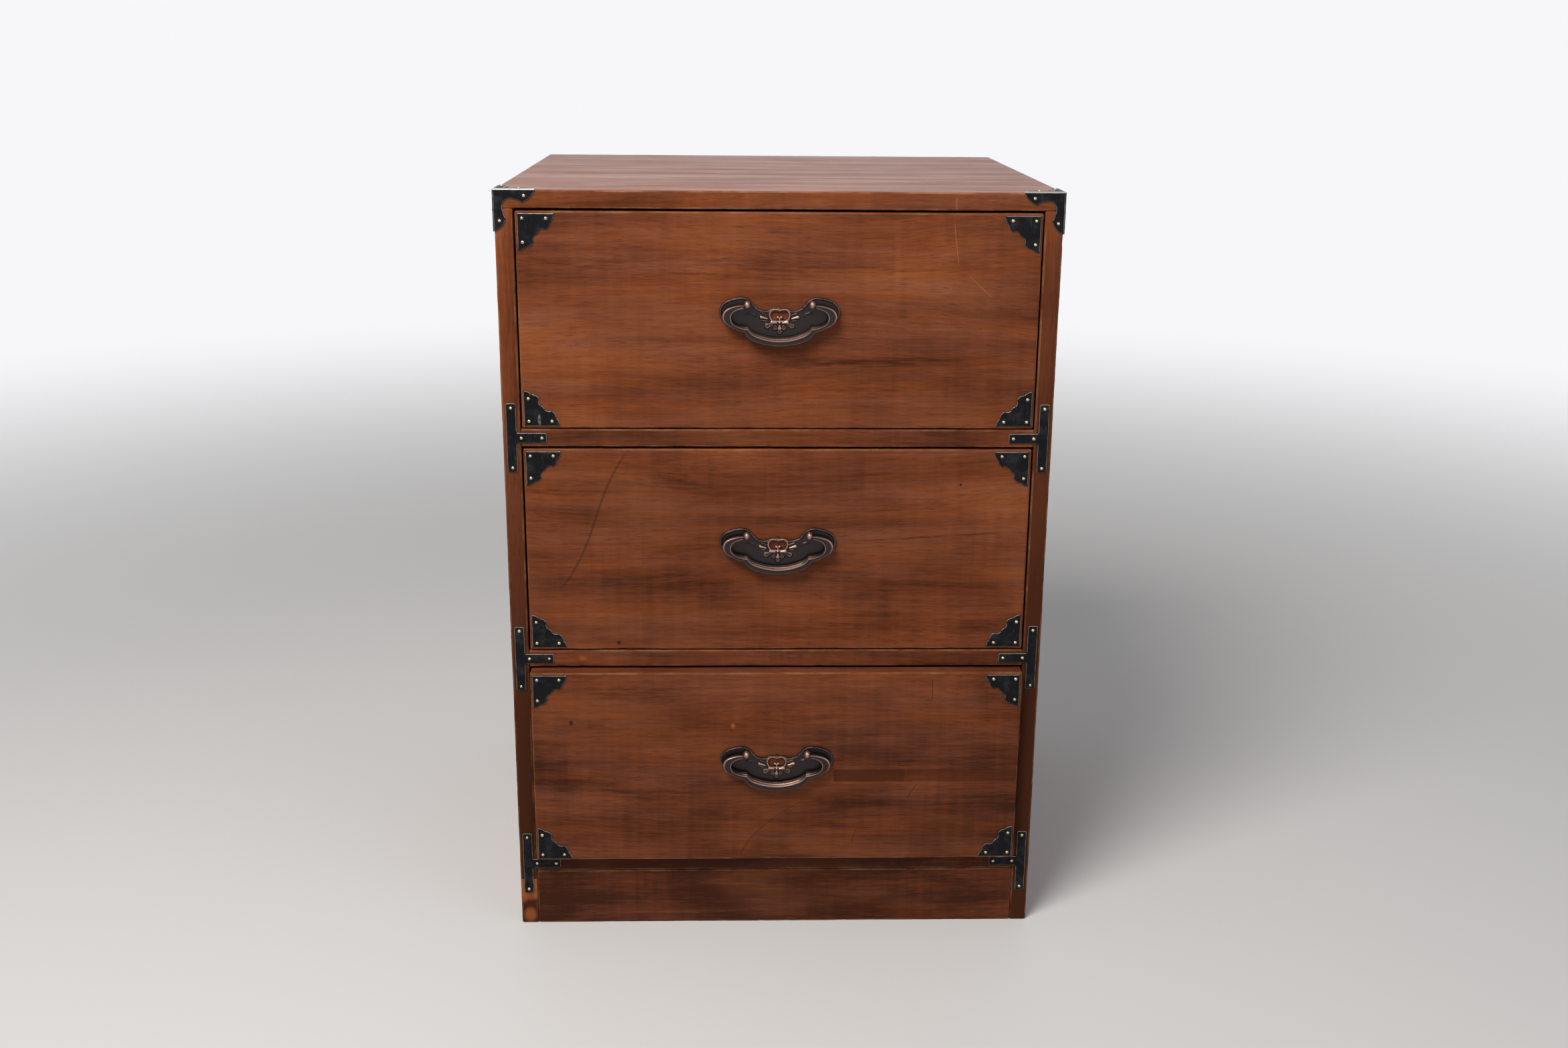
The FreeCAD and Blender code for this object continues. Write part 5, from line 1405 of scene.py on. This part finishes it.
class ChestNails(bpy.types.Operator):
    """Replace the round-headed nails with hand-set brass ones"""

    bl_idname = "chest.nails"
    bl_label = "Nails"

    def execute(self, context):
        for seed, drawer in enumerate(DRAWERS, start=SEEDS["corner_nails"]):
            low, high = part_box(f"{drawer}_corner_plates")
            spots = []
            for seat in corner_seats(low, high):
                spots += [(spot, RIGHT, UP, OUT) for spot in nails_on(seat, high.y - low.y, CORNER_NAILS)]
            node = f"{drawer}_corner_nails"
            self.make(f"{drawer}_corner_nail_heads", spots, f"{drawer}_drawer", node, seed)
        spots = []
        for side, sign in SIDES.items():
            for rail in RAILS:
                low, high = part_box(f"{rail}_{side}_tee")
                seat = tee_seat(low, high, sign)
                spots += [(spot, RIGHT, UP, OUT) for spot in nails_on(seat, high.y - low.y, TEE_NAILS)]
            spots += self.cap_spots(sign)
        self.make("case_nail_heads", spots, "case", "case_nails", SEEDS["case_nails"])
        return {"FINISHED"}

    def cap_spots(self, sign):
        """Two nails on each leaf of a corner cap."""
        thickness = FRONT_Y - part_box("left_corner_cap")[0].y
        corner, *ways = cap_ways(sign)
        spots = []
        for leaf, far in zip(cap_leaves(*ways), CAP_NAILS_FAR):
            places = ((far, CAP_NAIL_EDGE), (CAP_NAIL_EDGE, far))
            spots += [(spot, *leaf) for spot in nails_on((corner, *leaf), thickness, places)]
        return spots

    def make(self, name, spots, body, node, seed):
        """One piece of all the heads that a node's nails have."""
        heads, rub = nail_heads(spots, seed)
        shell = Shell()
        for head in heads:
            shell.tube(head, rub)
        shell.piece(name, nail_brass(), body, [node], "brass_nail", crease=NAIL_CREASE)


class ChestPulls(bpy.types.Operator):
    """Replace the pulls with cast plates, turned posts and bevelled bails"""

    bl_idname = "chest.pulls"
    bl_label = "Pulls"

    def execute(self, context):
        sheets = PullPlate().surfaces()
        for drawer in DRAWERS:
            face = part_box(f"{drawer}_handle_plate")[1].y
            low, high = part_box(f"{drawer}_handle_posts")
            seat = ((0, face, (low.z + high.z) / 2), MM * RIGHT, MM * UP, MM * OUT)
            plate = Shell()
            posts = Shell()
            bail = Shell()
            for local, rub in sheets:
                plate.sheet(placed(local, *seat), rub)
            for middle, sizes in TONGUE:
                local = egg(middle, sizes)
                plate.tube(placed(local, *seat), np.clip(local[..., 2] / TONGUE_TOP, 0, 1))
            local, rub = bail_surface()
            bail.tube(placed(local, *seat), rub)
            for sign in SIDES.values():
                local, rub = post_surface(sign)
                posts.tube(placed(local, *seat), rub)
                bail.tube(placed(bail_pin(sign), *seat), PIN_RUB)
            made = (
                (plate, "plate", f"{drawer}_drawer", f"{drawer}_handle_plate", CREASE_DEGREES),
                (posts, "posts", f"{drawer}_drawer", f"{drawer}_handle_posts", CREASE_DEGREES),
                (bail, "bail", f"{drawer}_bail", f"{drawer}_bail", BAIL_CREASE),
            )
            for shell, part, body, node, crease in made:
                shell.piece(f"{drawer}_pull_{part}", cast_bronze(), body, [node], "dark_bronze", crease)
        return {"FINISHED"}


# Stage

FLOOR_RINGS = (0.01, 0.5, 1.0, 2.0, 4.0, 7.0, 10.0, 14.0)
FLOOR_SIDES = 96
FLOOR_FADE = (0.9, 3.6)
FLOOR_SHADE = 0.94
FLOOR_ROUGHNESS = 0.62
CAMERA_FROM_FRONT = (-38.7 * MM, -1461.5 * MM, 840.2 * MM)
# Turns of the camera in degrees: yaw, pitch, roll, and from looking down to looking level
CAMERA_TURNS = ((-1.7343, "Z"), (-16.3583, "X"), (-0.5017, "Y"), (90, "X"))
SENSOR_WIDTH = 36.0
# Place, width and colour of each lamp, whose power is the setting of that name
LAMPS = {
    "key": ((-0.8, -1.4, 2.2), 1.1, (1.0, 0.975, 0.94)),
    "fill": ((2.1, -1.9, 1.2), 2.2, (0.95, 0.97, 1.0)),
}
LAMP_TARGET = (0.0, 0.0, 0.42)


class ChestStageSet(bpy.types.Operator):
    """Lay the floor, hang the lamps and set the camera at the photographed angle"""

    bl_idname = "chest.stage_set"
    bl_label = "Stage"

    def execute(self, context):
        stage = context.scene.chest_stage
        self.floor(context, stage)
        self.world(context, stage)
        for name, (place, width, tone) in LAMPS.items():
            self.lamp(context, f"{name}_lamp", place, width, getattr(stage, name), tone)
        self.camera(context, stage)
        context.scene.view_settings.view_transform = "Standard"
        return {"FINISHED"}

    def floor(self, context, stage):
        """A disc of rings, each ring of its own radius, that fades into the surroundings far off."""
        radii = np.array(FLOOR_RINGS)[:, None]
        turn = full_turn(FLOOR_SIDES)
        grid = np.stack([radii * np.cos(turn), radii * np.sin(turn), 0 * radii + 0 * turn], axis=-1)
        mesh = bpy.data.meshes.new("floor")
        faces = grid_quads(*grid.shape[:2], closed=True).tolist() + [list(range(FLOOR_SIDES))]
        mesh.from_pydata(grid.reshape(-1, 3), [], faces)
        made = bpy.data.objects.new("floor", mesh)
        context.scene.collection.objects.link(made)
        mesh.materials.append(self.pale_floor(stage))

    def pale_floor(self, stage):
        """Faintly clouded matt floor that clears with the distance from the chest."""
        finish = Finish("pale_floor")
        at = finish.place()
        cloud = finish.swing(at, 3, detail=3)
        shaded = tint([part * FLOOR_SHADE for part in stage.floor])
        floor_colour = finish.mix(0.5 + cloud * 0.5, tint(stage.floor), shaded)
        finish.paint(base_color=floor_colour, roughness=FLOOR_ROUGHNESS)
        far = finish.node("ShaderNodeVectorMath", {"operation": "LENGTH"}, {0: at}, out="Value")
        clear = finish.node("ShaderNodeBsdfTransparent")
        shader = Value(finish, finish.shader.outputs[0])
        faded = finish.node("ShaderNodeMixShader", {}, {0: far.between(*FLOOR_FADE), 1: shader, 2: clear})
        finish.join(faded, finish.tree.nodes["Material Output"].inputs["Surface"])
        return finish.material

    def world(self, context, stage):
        """Even light, with plain pale surroundings for the camera and for reflections."""
        world = bpy.data.worlds.new("surroundings")
        world.use_nodes = True
        context.scene.world = world
        nodes = Nodes(world.node_tree)
        rays = nodes.node("ShaderNodeLightPath", out="Is Camera Ray")
        seen = rays.larger(rays.other("Is Glossy Ray")).larger(rays.other("Is Transmission Ray"))
        light, shown = (
            nodes.node("ShaderNodeBackground", {}, {"Color": tint(stage.backdrop), "Strength": strength})
            for strength in (stage.ambient, 1.0)
        )
        mixed = nodes.node("ShaderNodeMixShader", {}, {0: seen, 1: light, 2: shown})
        nodes.join(mixed, world.node_tree.nodes["World Output"].inputs["Surface"])

    def lamp(self, context, name, place, width, power, tone):
        """A round area lamp turned to the chest."""
        light = bpy.data.lights.new(name, "AREA")
        light.shape = "DISK"
        light.size = width
        light.energy = power
        light.color = tone
        made = bpy.data.objects.new(name, light)
        made.location = place
        made.rotation_euler = (Vector(LAMP_TARGET) - Vector(place)).to_track_quat("-Z", "Y").to_euler()
        context.scene.collection.objects.link(made)

    def camera(self, context, stage):
        """The camera where the photograph was taken from, found from the chest's own corners."""
        data = bpy.data.cameras.new("camera")
        data.sensor_fit = "HORIZONTAL"
        data.sensor_width = SENSOR_WIDTH
        data.lens = stage.lens
        made = bpy.data.objects.new("camera", data)
        turned = Matrix.Identity(3)
        for degrees, axis in CAMERA_TURNS:
            turned = turned @ Matrix.Rotation(math.radians(degrees), 3, axis)
        place = Vector(CAMERA_FROM_FRONT) + Vector((0, FRONT_Y, 0))
        made.matrix_world = Matrix.Translation(place) @ turned.to_4x4()
        context.scene.collection.objects.link(made)
        context.scene.camera = made


class ChestPanel(bpy.types.Panel):
    """Lists the settings and the steps in the sidebar"""

    bl_idname = "VIEW3D_PT_chest"
    bl_label = "Three-drawer Chest"
    bl_space_type = "VIEW_3D"
    bl_region_type = "UI"
    bl_category = "Chest"

    def draw(self, context):
        for name, group in GROUPS.items():
            column = self.layout.column(heading=group.__doc__)
            for setting in group.__annotations__:
                column.prop(getattr(context.scene, name), setting)
        for step in STEPS:
            self.layout.operator(step.bl_idname)


GROUPS = {
    "chest_wood": ChestWood,
    "chest_iron": ChestIron,
    "chest_pull": ChestPull,
    "chest_stage": ChestStage,
}
STEPS = (
    ChestCaseBoards,
    ChestDrawerFronts,
    ChestInnerBoards,
    ChestIronwork,
    ChestNails,
    ChestPulls,
    ChestStageSet,
)


def register():
    """Register the classes and hang their settings on the scene."""
    for group in (*GROUPS.values(), *STEPS, ChestPanel):
        bpy.utils.register_class(group)
    for name, group in GROUPS.items():
        setattr(bpy.types.Scene, name, PointerProperty(type=group))


def unregister():
    """Undo register."""
    for name in GROUPS:
        delattr(bpy.types.Scene, name)
    for group in (ChestPanel, *reversed(STEPS), *reversed(GROUPS.values())):
        bpy.utils.unregister_class(group)


def main():
    """Run every step and write the boxes of the CAD model and of the dressed one."""
    register()
    for step in STEPS:
        family, name = step.bl_idname.split(".")
        getattr(getattr(bpy.ops, family), name)()


if __name__ == "__main__":
    main()
